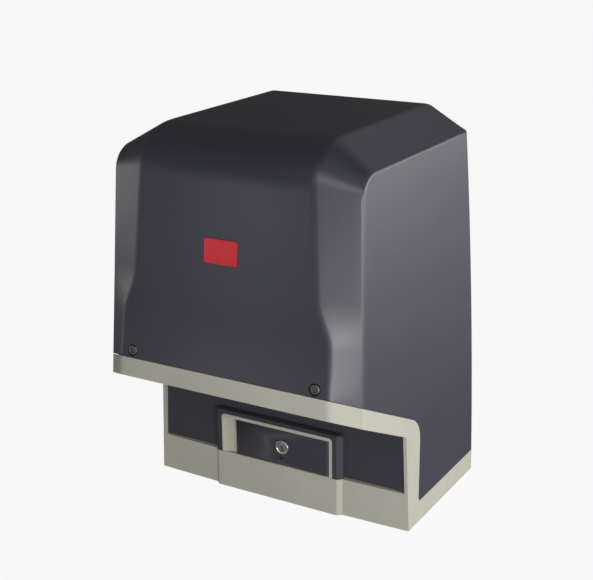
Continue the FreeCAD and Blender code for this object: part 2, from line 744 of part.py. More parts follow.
for x, y in case_lugs:
    inner_x = case_left + 6 if x < 0 else case_right - 6
    arm = box(min(x, inner_x), max(x, inner_x), y - 9, y + 9, case_foot_z, case_foot_z + 10)
    body = body.fuse(arm).fuse(rod_z(9.0, x, y, case_foot_z, case_foot_z + 10))
for side_x in (case_left + 2, case_right - 2):
    for z in (48.0, 70.0, 112.0):
        x0 = side_x - 5 if side_x < 0 else side_x - 1
        body = body.fuse(box(x0, x0 + 6, case_front_y + 4, case_rear_y - 6, z, z + 3))
# bearing seats, seal seat and bores of the shaft boss
rear_bearing_y = 46.0
bearing_width = 12.0
bearing_outer = 21.0
seal_y = 62.0
body = body.cut(rod_y(14.0, 0, shaft_z, 30, boss_end_y + 1))
body = body.cut(rod_y(bearing_outer + press, 0, shaft_z, rear_bearing_y, boss_end_y + 1))
sleeve = ring_y(bearing_outer + 0.5, 17.5 + press, 0, shaft_z, rear_bearing_y + bearing_width + 1,
                boss_end_y - 0.5)
body = body.fuse(sleeve)
worm_low_z = 32.0
worm_bearing_height = 10.0
worm_top_bearing_z = 137.0
body = body.cut(rod_z(16.0 + press, worm_x, wheel_mid_y, worm_low_z, 60))
body = body.cut(rod_z(17.5 + press, worm_x, wheel_mid_y, 130.0, case_top_z + 1))
body = body.cut(rod_y(9.0, yoke_x, yoke_z, case_front_y - 1, 28.0))
for x, z in bolt_ring():
    body = body.cut(rod_y(2.5 + press, x, z, case_front_y - 1, case_front_y + 14))
for x, y in case_lugs:
    body = body.cut(rod_z(4.5, x, y, case_foot_z - 1, case_foot_z + 11))
motor_bolt_spots = [(worm_x + 23, wheel_mid_y + 14), (worm_x - 23, wheel_mid_y + 14),
                    (worm_x + 23, wheel_mid_y - 23), (worm_x - 23, wheel_mid_y - 23)]
for x, y in motor_bolt_spots:
    body = body.cut(rod_z(2.5 + press, x, y, case_top_z - 12, case_top_z + 1))
transformer_x = 34.0
transformer_y = 6.0
body = body.fuse(rod_z(9.0, transformer_x, transformer_y, case_top_z - 1, case_top_z + 4))
body = body.cut(rod_z(3.0 + press, transformer_x, transformer_y, case_top_z - 12, case_top_z + 5))
keep("gear_case", body)

# front cover of the gear case, with the front bearing hub and the guide of the release rod
gasket_front_y = case_front_y - gasket_thickness
cover_front_y = gasket_front_y - cover_plate
front_bearing_y = -36.0
hub_front_y = -40.0
cover = prism_y(case_outline, cover_front_y, gasket_front_y, [8, 8, 10, 10])
cover = cover.fuse(rod_y(bearing_outer + 7, 0, shaft_z, hub_front_y, cover_front_y + 1))
for angle in range(0, 360, 45):
    rib = box(-1.5, 1.5, cover_front_y - 6, cover_front_y + 1, 20, 52)
    rib.rotate(V(0, 0, 0), V(0, 1, 0), angle)
    rib.translate(V(0, 0, shaft_z))
    cover = cover.fuse(rib.common(prism_y(case_outline, -60, 0, [8, 8, 10, 10])))
cover = cover.fuse(rod_y(8.5, yoke_x, yoke_z, cover_front_y - 7, cover_front_y + 1))
cover = cover.cut(rod_y(bearing_outer + press, 0, shaft_z, front_bearing_y, 0))
cover = cover.cut(rod_y(yoke_rod_radius + running, yoke_x, yoke_z, -60, 0))
for x, z in bolt_ring():
    cover = cover.cut(rod_y(2.8, x, z, -60, 0))
    cover = cover.cut(rod_y(5.2, x, z, -60, cover_front_y + 0.01))
keep("case_cover", cover)

gasket = prism_y(case_outline, gasket_front_y + 0.02, case_front_y - 0.02, [8, 8, 10, 10])
gasket = gasket.cut(wheel_chamber).cut(front_chamber)
gasket = gasket.cut(rod_y(9.0, yoke_x, yoke_z, -60, 28.0))
for x, z in bolt_ring():
    gasket = gasket.cut(rod_y(2.9, x, z, -60, 0))
keep("case_gasket", gasket)

cover_screw = socket_screw(4.4, 4.6, 2.5, cover_plate + gasket_thickness + 11.0)
cover_screw.rotate(V(0, 0, 0), V(1, 0, 0), 90)
cover_screws = [placed(cover_screw, (x, cover_front_y - 0.02, z)) for x, z in bolt_ring()]
keep("case_cover_screws", Part.makeCompound(cover_screws))

case_bolt = socket_screw(6.5, 8.0, 4.0, 10.0 + case_foot_z - 5.0)
keep("gear_case_bolts", Part.makeCompound(
    [placed(case_bolt, (x, y, case_foot_z + 10.02)) for x, y in case_lugs]))


# ================================================================ bearings and seals
def bearing(inner, outer, width):
    """Ball bearing along Z from z = 0: two races, a shielded gap and its balls."""
    third = (outer - inner) / 3.0
    races = ring_z(outer, outer - third, 0, 0, 0, width)
    races = races.fuse(ring_z(inner + third, inner, 0, 0, 0, width))
    races = races.fuse(ring_z(outer - third + 0.2, inner + third - 0.2, 0, 0, 0.8, width - 0.8))
    return races


def along_y(shape, x, y, z):
    copy = shape.copy()
    copy.rotate(V(0, 0, 0), V(1, 0, 0), -90)
    copy.translate(V(x, y, z))
    return copy


main_bearing = bearing(journal_radius + press, bearing_outer, bearing_width)
keep("main_bearings", Part.makeCompound(
    [along_y(main_bearing, 0, y + 0.05, shaft_z) for y in (rear_bearing_y, front_bearing_y)]))
seal = ring_z(17.5, journal_radius + running, 0, 0, 0, 7.0)
seal = seal.cut(ring_z(15.5, journal_radius + 2.2, 0, 0, 2.0, 8.0))
keep("shaft_seal", along_y(seal, 0, seal_y, shaft_z))
keep("worm_bearing_lower", placed(bearing(6.0 + press, 16.0, worm_bearing_height),
                                  (worm_x, wheel_mid_y, worm_low_z + 0.05)))
keep("worm_bearing_upper", placed(bearing(7.5 + press, 17.5, case_top_z - worm_top_bearing_z - 0.1),
                                  (worm_x, wheel_mid_y, worm_top_bearing_z)))


# ================================================================ gears
def tooth_outline(module, teeth, thinning, root_factor=1.25):
    """Involute outline of one tooth around the +X axis, from root to root."""
    pitch = module * teeth / 2.0
    base = pitch * math.cos(pressure_angle)
    tip = pitch + module
    root = pitch - root_factor * module
    half = math.pi / (2 * teeth) - thinning / pitch
    half += math.tan(pressure_angle) - pressure_angle
    start = max(base, root + 0.05)
    flank = []
    steps = 5
    for i in range(steps + 1):
        r = start + (tip - start) * i / steps
        roll = math.acos(base / r)
        flank.append((r, half - (math.tan(roll) - roll)))
    outline = [(root, -flank[0][1] - 0.02)] + [(r, -a) for r, a in flank]
    outline += [(r, a) for r, a in reversed(flank)] + [(root, flank[0][1] + 0.02)]
    return outline


def gear_wire(module, teeth, thinning, y, turn=0.0):
    """Whole gear outline in the XZ plane at one depth."""
    points = []
    for k in range(teeth):
        centre = 2 * math.pi * k / teeth + turn
        for r, a in tooth_outline(module, teeth, thinning):
            points.append(V(r * math.cos(centre + a), y, r * math.sin(centre + a)))
    points.append(points[0])
    return Part.makePolygon(points)


wheel_y0 = wheel_mid_y - wheel_face / 2
wheel_y1 = wheel_mid_y + wheel_face / 2
worm_pitch = math.pi * worm_module
lead_slope = worm_pitch / (2 * math.pi * worm_pitch_radius)
wheel_pitch_radius = worm_module * wheel_teeth / 2
twist = lead_slope * (wheel_face / 2) / wheel_pitch_radius
rim = Part.makeLoft([gear_wire(worm_module, wheel_teeth, tooth_thinning, wheel_y0, twist),
                     gear_wire(worm_module, wheel_teeth, tooth_thinning, wheel_y1, -twist)],
                    True, True)
rim.translate(V(0, 0, shaft_z))
rim = rim.cut(rod_y(wheel_hub_radius + press, 0, shaft_z, 0, 60))
keep("wheel_rim", rim)

hub_y0 = 9.0
hub_y1 = 37.0
dog_count = 6
dog_depth = 5.0
hub = rod_y(wheel_hub_radius, 0, shaft_z, hub_y0, hub_y1 - 4)
hub = hub.fuse(rod_y(17.0, 0, shaft_z, hub_y1 - 5, hub_y1))
hub = hub.cut(rod_y(shaft_radius + running, 0, shaft_z, 0, 60))
dog_angle = 360.0 / dog_count


def dog(y0, y1, half_width, inner, outer, angle):
    block = box(inner, outer, y0, y1, -half_width, half_width)
    block.rotate(V(0, 0, 0), V(0, 1, 0), angle)
    block.translate(V(0, 0, shaft_z))
    return block


for k in range(dog_count):
    hub = hub.cut(dog(hub_y0 - 1, hub_y0 + dog_depth + 0.6, 3.6, 14.4, 23.6, k * dog_angle))
keep("wheel_hub", hub)

ring_y0 = -9.0
ring_y1 = 8.6
clutch = rod_y(23.0, 0, shaft_z, ring_y0, ring_y1)
clutch = clutch.cut(ring_y(24.0, 18.0, 0, shaft_z, -3.0, 3.0))
for k in range(dog_count):
    clutch = clutch.fuse(dog(ring_y1 - 1, hub_y0 + dog_depth, 3.0, 15.0, 22.8, k * dog_angle))
key_half = 3.0
clutch = clutch.cut(rod_y(shaft_radius + running, 0, shaft_z, -40, 60))
clutch = clutch.cut(box(-key_half - running, key_half + running, -40, 60, shaft_z,
                        shaft_z + shaft_radius + 3.1))
keep("clutch_ring", clutch)

shaft = rod_y(journal_radius, 0, shaft_z, front_bearing_y + 1, pinion_front_y + pinion_face - 1)
shaft = shaft.fuse(rod_y(shaft_radius, 0, shaft_z, front_bearing_y + bearing_width + 0.2,
                         rear_bearing_y - 0.1))
shaft = shaft.fuse(rod_y(13.0, 0, shaft_z, hub_y1 + 0.3, rear_bearing_y - 2.0))
clutch_key_y = (-18.0, 8.0)
pinion_key_y = (pinion_front_y + 2.0, pinion_front_y + pinion_face - 2.0)
shaft = shaft.cut(box(-key_half, key_half, clutch_key_y[0], clutch_key_y[1],
                      shaft_z + shaft_radius - 3.5, shaft_z + 20))
shaft = shaft.cut(box(-key_half, key_half, pinion_key_y[0], pinion_key_y[1],
                      shaft_z + journal_radius - 3.5, shaft_z + 20))
shaft = shaft.cut(rod_y(4.0 + press, 0, shaft_z, 80, 120))
keep("output_shaft", shaft)
keys = [box(-key_half + press, key_half - press, span[0] + 0.05, span[1] - 0.05,
            shaft_z + radius - 3.48, shaft_z + radius + 2.5)
        for span, radius in ((clutch_key_y, shaft_radius), (pinion_key_y, journal_radius))]
keep("shaft_keys", Part.makeCompound(keys))

pinion = Part.Face(gear_wire(pinion_module, pinion_teeth, 0.1, 0.0)).extrude(V(0, pinion_face, 0))
pinion.translate(V(0, pinion_front_y, shaft_z))
pinion = pinion.cut(rod_y(journal_radius + press, 0, shaft_z, 70, 120))
pinion = pinion.cut(box(-key_half, key_half, 70, 120, shaft_z, shaft_z + journal_radius + 2.6))
keep("pinion", pinion)
pinion_end_y = pinion_front_y + pinion_face
washer = ring_y(15.0, 4.3, 0, shaft_z, pinion_end_y + 0.02, pinion_end_y + 3.0)
keep("pinion_washer", washer)
pinion_bolt = socket_screw(6.5, 8.0, 4.0, 22.0)
pinion_bolt.rotate(V(0, 0, 0), V(1, 0, 0), -90)
keep("pinion_bolt", placed(pinion_bolt, (0, pinion_end_y + 3.02, shaft_z)))

# ================================================================ release linkage
yoke = rod_y(yoke_rod_radius, yoke_x, yoke_z, yoke_nose_y, 26.0)
yoke = yoke.fuse(Part.makeSphere(yoke_rod_radius, V(yoke_x, yoke_nose_y, yoke_z)))
yoke = yoke.fuse(rod_y(6.5, yoke_x, yoke_z, 6.0, 9.0))
fork_y0 = -2.4
fork_y1 = 2.4
reach = math.hypot(yoke_x, shaft_z - yoke_z)
arm = box(17.0, reach, fork_y0, fork_y1, -6.0, 6.0)
arm_turn = math.degrees(math.atan2(shaft_z - yoke_z, yoke_x))
arm.rotate(V(0, 0, 0), V(0, 1, 0), arm_turn)
arm.translate(V(0, 0, shaft_z))
half_ring = ring_y(28.0, 18.6, 0, shaft_z, fork_y0, fork_y1)
keep_side = box(0, 60, -20, 20, -60, 60)
keep_side.rotate(V(0, 0, 0), V(0, 1, 0), arm_turn)
keep_side.translate(V(0, 0, shaft_z))
fork = half_ring.common(keep_side).fuse(arm.cut(rod_y(18.6, 0, shaft_z, -60, 60)))
collar_block = ring_y(8.0, yoke_rod_radius - 0.5, yoke_x, yoke_z, fork_y0, fork_y1)
keep("release_yoke", fuse(yoke, fork, collar_block))

spring_turns = 7
spring_y0 = 9.2
spring_y1 = 28.0 - 0.3
coil_pitch = (spring_y1 - spring_y0 - 1.4) / spring_turns


def coil_spring(radius, wire_radius, pitch, turns, sides=8):
    """Helix of eight-sided wire, as drawn spring wire with its edges broken."""
    helix = Part.makeHelix(pitch, pitch * turns, radius)
    start = helix.Edges[0]
    point = start.valueAt(start.FirstParameter)
    direction = start.tangentAt(start.FirstParameter)
    across = direction.cross(V(0, 0, 1)).normalize()
    upward = direction.cross(across).normalize()
    corners = [point + across * x + upward * y for x, y in circle_points(sides, wire_radius)]
    section = Part.makePolygon(corners + corners[:1])
    return Part.Wire(helix.Edges).makePipeShell([section], True, True)


coil = coil_spring(6.6, 0.6, coil_pitch, spring_turns)
keep("release_spring", along_y(coil, yoke_x, spring_y0 + 0.7, yoke_z))

# ================================================================ worm and motor
worm_core_radius = worm_pitch_radius - 1.2 * worm_module - 0.1
shaft_steps = [(6.0, 33.0, 43.0), (worm_core_radius, 43.0, 126.0), (9.0, 126.0, 136.9),
               (7.5, 136.9, motor_foot_z),
               (6.0, motor_foot_z, motor_bearing_z + motor_bearing_width + 1.0),
               (5.0, motor_bearing_z + motor_bearing_width + 1.0, encoder_z + 6.0)]
worm_shaft = rod_z(shaft_steps[0][0], worm_x, wheel_mid_y, shaft_steps[0][1], shaft_steps[0][2])
for radius, z0, z1 in shaft_steps[1:]:
    worm_shaft = worm_shaft.fuse(rod_z(radius, worm_x, wheel_mid_y, z0, z1))
thread_turns = 7
helix = Part.makeHelix(worm_pitch, worm_pitch * thread_turns, worm_pitch_radius)
tan_flank = math.tan(pressure_angle)
half_pitch_width = worm_pitch / 4 - tooth_thinning
tip_r = worm_pitch_radius + worm_module
foot_r = worm_core_radius - 0.4
tip_half = half_pitch_width - worm_module * tan_flank
foot_half = half_pitch_width + (worm_pitch_radius - foot_r) * tan_flank
profile = Part.makePolygon([V(foot_r, 0, -foot_half), V(tip_r, 0, -tip_half),
                            V(tip_r, 0, tip_half), V(foot_r, 0, foot_half),
                            V(foot_r, 0, -foot_half)])
thread = Part.Wire(helix.Edges).makePipeShell([Part.Wire(profile.Edges)], True, True)
thread.translate(V(worm_x, wheel_mid_y, shaft_z - (thread_turns / 2.0) * worm_pitch))
worm_shaft = worm_shaft.fuse(thread)
keep("worm_shaft", worm_shaft)

commutator_z = (rotor_top_z + commutator_gap, rotor_top_z + commutator_gap + commutator_length)
lamination = rod_z(21.5, worm_x, wheel_mid_y, rotor_low_z, rotor_top_z)
for k in range(12):
    angle = 2 * math.pi * k / 12
    x = worm_x + 20.0 * math.cos(angle)
    y = wheel_mid_y + 20.0 * math.sin(angle)
    lamination = lamination.cut(rod_z(1.4, x, y, rotor_low_z - 1, rotor_top_z + 1))
lamination = lamination.fuse(rod_z(16.0, worm_x, wheel_mid_y, rotor_low_z - 8, rotor_top_z + 3))
lamination = lamination.cut(rod_z(6.0 + press, worm_x, wheel_mid_y, rotor_low_z - 78,
                                  rotor_top_z + 52))
keep("rotor_core", lamination)
ring_shape = ring_z(10.5, 6.0 + press, worm_x, wheel_mid_y, commutator_z[0], commutator_z[1])
for k in range(12):
    blade = box(10.0, 12.0, -0.25, 0.25, commutator_z[0] - 1, commutator_z[1] + 1)
    blade.rotate(V(0, 0, 0), V(0, 0, 1), 30.0 * k)
    blade.translate(V(worm_x, wheel_mid_y, 0))
    ring_shape = ring_shape.cut(blade)
keep("commutator", ring_shape)

flange = prism_z(rectangle(worm_x - 31, worm_x + 31, wheel_mid_y - 31, wheel_mid_y + 20),
                 case_top_z + 0.02, motor_foot_z, 8.0)
flange = flange.fuse(rod_z(motor_radius, worm_x, wheel_mid_y, case_top_z + 3, motor_foot_z))
flange = flange.fuse(rod_z(motor_radius - motor_wall - 0.05, worm_x, wheel_mid_y,
                           motor_foot_z - 1, motor_foot_z + 4))
flange = flange.cut(rod_z(9.0, worm_x, wheel_mid_y, 140, 170))
for x, y in motor_bolt_spots:
    flange = flange.cut(rod_z(2.8, x, y, 140, 170))
    flange = flange.cut(rod_z(5.0, x, y, motor_foot_z - 5.0, 175))
can = ring_z(motor_radius, motor_radius - motor_wall, worm_x, wheel_mid_y, motor_foot_z + 0.02,
             motor_can_top_z)
for x, y in motor_bolt_spots:
    can = can.cut(rod_z(5.4, x, y, motor_foot_z - 1, motor_foot_z + 16))
keep("motor_flange", flange)
keep("motor_can", can)
motor_bolt = socket_screw(4.4, 4.4, 2.5, 12.0)
keep("motor_bolts", Part.makeCompound(
    [placed(motor_bolt, (x, y, motor_foot_z - 4.98)) for x, y in motor_bolt_spots]))
magnets = []
for side in (-1, 1):
    sector = ring_z(motor_radius - motor_wall - 0.05, 23.2, worm_x, wheel_mid_y,
                    rotor_low_z + 4, rotor_top_z - 4)
    window_box = box(worm_x - 24, worm_x + 24, wheel_mid_y + (2 if side > 0 else -60),
                     wheel_mid_y + (60 if side > 0 else -2), rotor_low_z, rotor_top_z)
    magnets.append(sector.common(window_box))
keep("motor_magnets", Part.makeCompound(magnets))

cap = rod_z(motor_radius, worm_x, wheel_mid_y, motor_can_top_z + 0.02, motor_can_top_z + 14)
cap = cap.cut(rod_z(motor_radius - 4, worm_x, wheel_mid_y, motor_can_top_z - 1,
                    motor_can_top_z + 8))
cap = cap.fuse(rod_z(14.0, worm_x, wheel_mid_y, motor_can_top_z + 6, motor_can_top_z + 22))
cap = cap.cut(rod_z(11.0 + press, worm_x, wheel_mid_y, motor_can_top_z - 1,
                    motor_bearing_z + motor_bearing_width + 3.0))
cap = cap.cut(rod_z(6.0, worm_x, wheel_mid_y, 100, motor_can_top_z + 52))
for side in (-1, 1):
    shelf = box(12.6, 29.8, -6, 6, motor_can_top_z - 16, motor_can_top_z + 9)
    shelf = shelf.cut(box(11, 27, -4, 4, motor_can_top_z - 13, motor_can_top_z - 5))
    shelf.rotate(V(0, 0, 0), V(0, 0, 1), 0 if side > 0 else 180)
    shelf.translate(V(worm_x, wheel_mid_y, 0))
    cap = cap.fuse(shelf)
keep("motor_end_cap", cap)
brushes = []
for side in (-1, 1):
    brush = box(10.7, 24.0, -3.9, 3.9, motor_can_top_z - 12.9, motor_can_top_z - 5.1)
    brush.rotate(V(0, 0, 0), V(0, 0, 1), 0 if side > 0 else 180)
    brush.translate(V(worm_x, wheel_mid_y, 0))
    brushes.append(brush)
keep("motor_brushes", Part.makeCompound(brushes))
keep("motor_bearing", placed(bearing(6.0 + press, 11.0, motor_bearing_width),
                              (worm_x, wheel_mid_y, motor_bearing_z)))

encoder = ring_z(13.0, 5.0 + press, worm_x, wheel_mid_y, encoder_z, encoder_z + 2.5)
for k in range(8):
    angle = 2 * math.pi * k / 8
    encoder = encoder.cut(rod_z(1.8, worm_x + 9.8 * math.cos(angle),
                                wheel_mid_y + 9.8 * math.sin(angle), encoder_z - 1, encoder_z + 4))
keep("encoder_wheel", encoder)
board = box(worm_x + 4, worm_x + 30, wheel_mid_y - 10, wheel_mid_y + 10,
            encoder_z + 4.5, encoder_z + 6.1)
board = board.cut(rod_z(8.0, worm_x, wheel_mid_y, encoder_z - 4, encoder_z + 16))
for sy in (-1, 1):
    board = board.fuse(rod_z(2.5, worm_x + 26, wheel_mid_y + 6 * sy, motor_can_top_z + 14.02,
                             encoder_z + 5.0))
board = board.fuse(box(worm_x + 9, worm_x + 16, wheel_mid_y - 4, wheel_mid_y + 4,
                       encoder_z + 3.4, encoder_z + 5.0))
keep("encoder_board", board)

# ================================================================ transformer
plate_z = case_top_z + 4.02
plate = rod_z(38.0, transformer_x, transformer_y, plate_z, plate_z + 1.5)
plate = plate.cut(rod_z(3.3, transformer_x, transformer_y, 140, 170))
coil_z0 = plate_z + 1.6
coil_z1 = coil_z0 + 38.0
core = ring_z(36.0, 13.0, transformer_x, transformer_y, coil_z0, coil_z1)
core = core.makeFillet(6.0, [e for e in core.Edges if len(e.Vertexes) == 1])
keep("transformer", core)
dish = rod_z(20.0, transformer_x, transformer_y, coil_z1 + 0.1, coil_z1 + 1.8)
dish = dish.fuse(rod_z(12.0, transformer_x, transformer_y, coil_z1 - 8.0, coil_z1 + 1.0))
dish = dish.cut(rod_z(3.3, transformer_x, transformer_y, 100, 220))
dish_bolt = rod_z(3.0, transformer_x, transformer_y, case_top_z - 8, coil_z1 + 1.9)
dish_bolt = dish_bolt.fuse(prism_z([(transformer_x + x, transformer_y + y)
                                    for x, y in circle_points(6, 5.8)],
                                   coil_z1 + 1.82, coil_z1 + 6.5))
keep("transformer_plates", Part.makeCompound([plate, dish]))
keep("transformer_bolt", dish_bolt)

# ================================================================ control board
tray_front_y = tray_back_y - 3.0
tray_top_z = 286.0
tray = prism_y(rectangle(-84, 84, 140, tray_top_z), tray_front_y, tray_back_y - 0.05,
               [5, 5, 14, 14])
edge = prism_y(rectangle(-84, 84, 140, tray_top_z), tray_front_y - 4, tray_front_y + 1,
               [5, 5, 14, 14])
edge = edge.cut(prism_y(rectangle(-82, 82, 142, tray_top_z - 2), -200, -50, [4, 4, 12, 12]))
tray = tray.fuse(edge)
board_back_y = tray_front_y - 6.0
standoffs = [(sx * 72.0, z) for sx in (-1, 1) for z in (160.0, 270.0)]
for x, z in standoffs:
    tray = tray.fuse(rod_y(3.5, x, z, board_back_y + 0.02, tray_front_y + 0.5))
for side in (-1, 1):
    tray = tray.cut(rod_y(2.0, side * tray_post_x, 146, -200, -50))
keep("board_tray", tray)
tray_screw = socket_screw(3.4, 2.6, 1.6, 10.0)
tray_screw.rotate(V(0, 0, 0), V(1, 0, 0), 90)
keep("tray_screws", Part.makeCompound(
    [placed(tray_screw, (side * tray_post_x, tray_front_y - 0.02, 146)) for side in (-1, 1)]))

board_front_y = board_back_y - 1.6
pcb = prism_y(rectangle(-77, 77, 154, 276), board_front_y, board_back_y, 2.0)
keep("control_board", pcb)
face = board_front_y - 0.02
blocks = []
for x0, width in ((-72.0, 40.0), (-26.0, 50.0), (30.0, 42.0)):
    block = box(x0, x0 + width, face - 10, face, 157, 169)
    ways = int(width // 5)
    for k in range(ways):
        centre = x0 + (k + 0.5) * width / ways
        block = block.cut(rod_z(1.5, centre, face - 5, 156, 163))
        block = block.cut(rod_y(1.6, centre, 166, face - 11, face - 7))
    blocks.append(block)
keep("terminal_blocks", Part.makeCompound(blocks))
relay_spots = [(-66.0, 236.0), (-44.0, 236.0)]
keep("relays", Part.makeCompound(
    [box(x, x + 18, face - 11, face, z, z + 26) for x, z in relay_spots]))
display = box(2, 44, face - 5, face, 226, 250)
display = display.cut(box(6, 40, face - 6, face - 4.2, 230, 246))
keep("board_display", display)
button_spots = {"button_minus": 8.0, "button_ok": 23.0, "button_plus": 38.0}
button_z = 214.0
switch_bodies = []
for name, x in button_spots.items():
    body_block = box(x - 4, x + 4, face - 3.6, face, button_z - 4, button_z + 4)
    body_block = body_block.cut(rod_y(2.2, x, button_z, face - 4, face - 0.5))
    switch_bodies.append(body_block)
    stem = rod_y(2.0, x, button_z, face - 6.4, face - 1.5)
    keep(name, stem)
keep("button_switches", Part.makeCompound(switch_bodies))

# ================================================================ limit switch
switch_y0 = case_rear_y + 5.02
switch_y1 = 74.0
switch_z = 150.0
switch = prism_y(rectangle(-14, 14, 137, 163), switch_y0, switch_y1, 3.0)
switch = switch.cut(rod_y(3.0 + running, 0, switch_z, switch_y1 - 12, switch_y1 + 1))
keep("limit_switch", switch)
lever = rod_y(3.0, 0, switch_z, switch_y1 - 11.5, switch_y1 + 3)
lever = lever.fuse(rod_y(6.0, 0, switch_z, switch_y1 + 0.5, switch_y1 + 9.0))
lever = lever.fuse(rod_z(3.2, 0, switch_y1 + 4.8, switch_z, switch_z + 26.0))
lever = lever.fuse(rod_z(1.6, 0, switch_y1 + 4.8, switch_z, switch_z + 44.0))
keep("limit_lever", lever)

# ================================================================ files
os.makedirs("parts", exist_ok=True)
for name, shape in nodes.items():
    shape.exportStep("parts/" + name + ".step")
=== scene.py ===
# %% [markdown]
# # Sliding gate motor
# The machine stands beside a gate and drives it along through a toothed rack. A dark moulded hood with
# faceted corners covers the motor, and a light grey base carries it, with a collar that runs up round the
# hood's foot. Low on the front a small release door with a key lock lets the gate be freed by hand.
#
# The construction comes in first and its box is noted, because everything added later stays inside it.

# %% Load the construction
import json
import math

import bmesh
import bpy
from mathutils import Matrix, Vector


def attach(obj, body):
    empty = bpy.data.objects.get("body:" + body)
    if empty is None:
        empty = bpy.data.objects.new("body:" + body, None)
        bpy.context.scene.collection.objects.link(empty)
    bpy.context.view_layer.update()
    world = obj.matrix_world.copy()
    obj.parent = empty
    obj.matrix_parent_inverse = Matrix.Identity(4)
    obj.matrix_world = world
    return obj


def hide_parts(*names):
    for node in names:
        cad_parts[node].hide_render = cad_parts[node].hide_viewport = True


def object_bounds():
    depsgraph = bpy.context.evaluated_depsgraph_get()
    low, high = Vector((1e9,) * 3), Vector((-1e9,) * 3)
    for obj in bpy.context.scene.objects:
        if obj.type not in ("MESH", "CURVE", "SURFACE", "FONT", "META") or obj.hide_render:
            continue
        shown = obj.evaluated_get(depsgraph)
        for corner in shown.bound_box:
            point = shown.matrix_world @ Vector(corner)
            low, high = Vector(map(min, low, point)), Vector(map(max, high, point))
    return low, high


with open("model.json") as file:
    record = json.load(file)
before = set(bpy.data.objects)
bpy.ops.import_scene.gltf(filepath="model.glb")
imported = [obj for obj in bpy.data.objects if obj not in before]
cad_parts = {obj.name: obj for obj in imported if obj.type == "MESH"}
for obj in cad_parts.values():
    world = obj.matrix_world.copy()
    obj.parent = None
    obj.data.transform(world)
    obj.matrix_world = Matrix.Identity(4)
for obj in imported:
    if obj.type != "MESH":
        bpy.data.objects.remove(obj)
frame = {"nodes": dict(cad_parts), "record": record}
nodes = frame["nodes"]
cad_low, cad_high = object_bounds()
cad_box = [[float(v) for v in cad_low], [float(v) for v in cad_high]]
MM = 0.001
print("nodes", len(nodes), "box", [round(v, 4) for v in cad_box[0]], [round(v, 4) for v in cad_box[1]])

# %% [markdown]
# The sizes below are those of the real mouldings, in millimetres. The hood and base share one outer
# form: sides that lean in, a front that leans back and rolls into the roof, and a corner facet that wraps
# from the front corner up over the edge of the roof. They are kept here so that the outer pieces can be
# made again with rounded edges, which is how a moulded part leaves its tool.

# %% Sizes
base_width = 250.0
side_draft = 0.0407
unit_height = 333.6
rear_bulge_y = 71.0
rear_bulge_z = 110.0
rear_bow = 2.2e-4
front_line_y = -152.9
front_line_z = 200.0
front_lean = 0.083
skirt_top_z = 190.0
skirt_height = 44.0
skirt_kick = 2.5
front_bow_radius = 1178.0
front_corner_depth = 45.0
front_corner_height = 36.0
front_corner_power = 2.3
crease_line_y = -136.0
crease_lean = 0.0574
crease_top_z = 312.7
crease_corner_radius = 19.0
panel_low_half = 97.3
panel_low_z = 146.0
panel_low_taper = 0.05
panel_high_half = 77.8
panel_high_z = 301.0
panel_high_taper = 0.066
flare_start_z = 183.0
flare_end_z = 219.0
hood_wall = 3.0
base_wall = 4.6
floor_thickness = 6.0
seam = 0.5
band_front_y = -156.5
band_top_z = 145.0
band_height = 16.8
band_slope = 0.497
strip_top_y = -42.1
strip_foot_y = -48.9
strip_corner_radius = 22.0
strip_foot_radius = 3.5
side_sill_z = 18.0

base_front_y = -69.0
base_bow_radius = 3000.0
window_sill_z = 33.5
window_edge = 3.0
panel_setback = 2.6
panel_thickness = 3.0
panel_gap = 0.2
bulge_half = 60.0
bulge_foot_half = 64.0
bulge_y = -74.3
bulge_top_z = 74.0
bulge_corner = 2.4
bulge_top_corner = 4.5
rim_half = 55.4
rim_top_z = 70.2
rim_width = 3.0
rim_corner = 3.5
rim_gap = 0.15
frame_back_y = -62.0
scoop_width = 15.4
scoop_depth = 7.0
door_gap = 0.25
door_face_y = -74.0
door_thickness = 3.4
hinge_radius = 3.2
hinge_x = rim_half - rim_width - door_gap - hinge_radius
hinge_y = door_face_y + hinge_radius
cam_low_z = 46.0
cam_high_z = 56.0
pin_radius = 1.5
lock_x = 6.3
lock_z = 51.0
lock_radius = 6.4
lock_barrel_radius = 5.4
lock_depth = 15.0
plug_radius = 4.0


def smooth_step(value, low, high):
    share = min(max((value - low) / (high - low), 0.0), 1.0)
    return share * share * (3 - 2 * share)


def side_half(z):
    return base_width / 2 - side_draft * z


def rear_y(z):
    return rear_bulge_y - rear_bow * (z - rear_bulge_z) ** 2


def front_y(z, top):
    """Depth of the front on its centre line, with the roll into the roof."""
    y = front_line_y + front_lean * (z - front_line_z)
    if z < skirt_top_z:
        y -= skirt_kick * ((skirt_top_z - max(z, panel_low_z)) / skirt_height) ** 2
    start = top - front_corner_height
    if z > start:
        rise = min((z - start) / front_corner_height, 1.0)
        y += front_corner_depth * (1 - (1 - rise ** front_corner_power) ** (1 / front_corner_power))
    return y


def panel_half(z):
    low = panel_low_half - panel_low_taper * (z - panel_low_z)
    high = panel_high_half + panel_high_taper * max(panel_high_z - z, 0.0)
    return low + (high - low) * smooth_step(z, flare_start_z, flare_end_z)


def band_z(y, drop=0.0):
    """Height of the slanting band's edge at one depth."""
    return band_top_z - band_slope * (y - band_front_y) - drop


# %% [markdown]
# The outer form is made of the patches that a toolmaker would name: the front panel with its roll into
# the roof, the facet band that wraps round the corner, two flat side panels, the bowed rear and the flat
# roof. The band is ruled between the edge of the front panel and the crease of the side, both turned
# through the same angle, so it bends evenly over the corner. Each line between two patches has its own
# weight, and one bevel rounds them all, soft beside the front panel and tight at the crease.

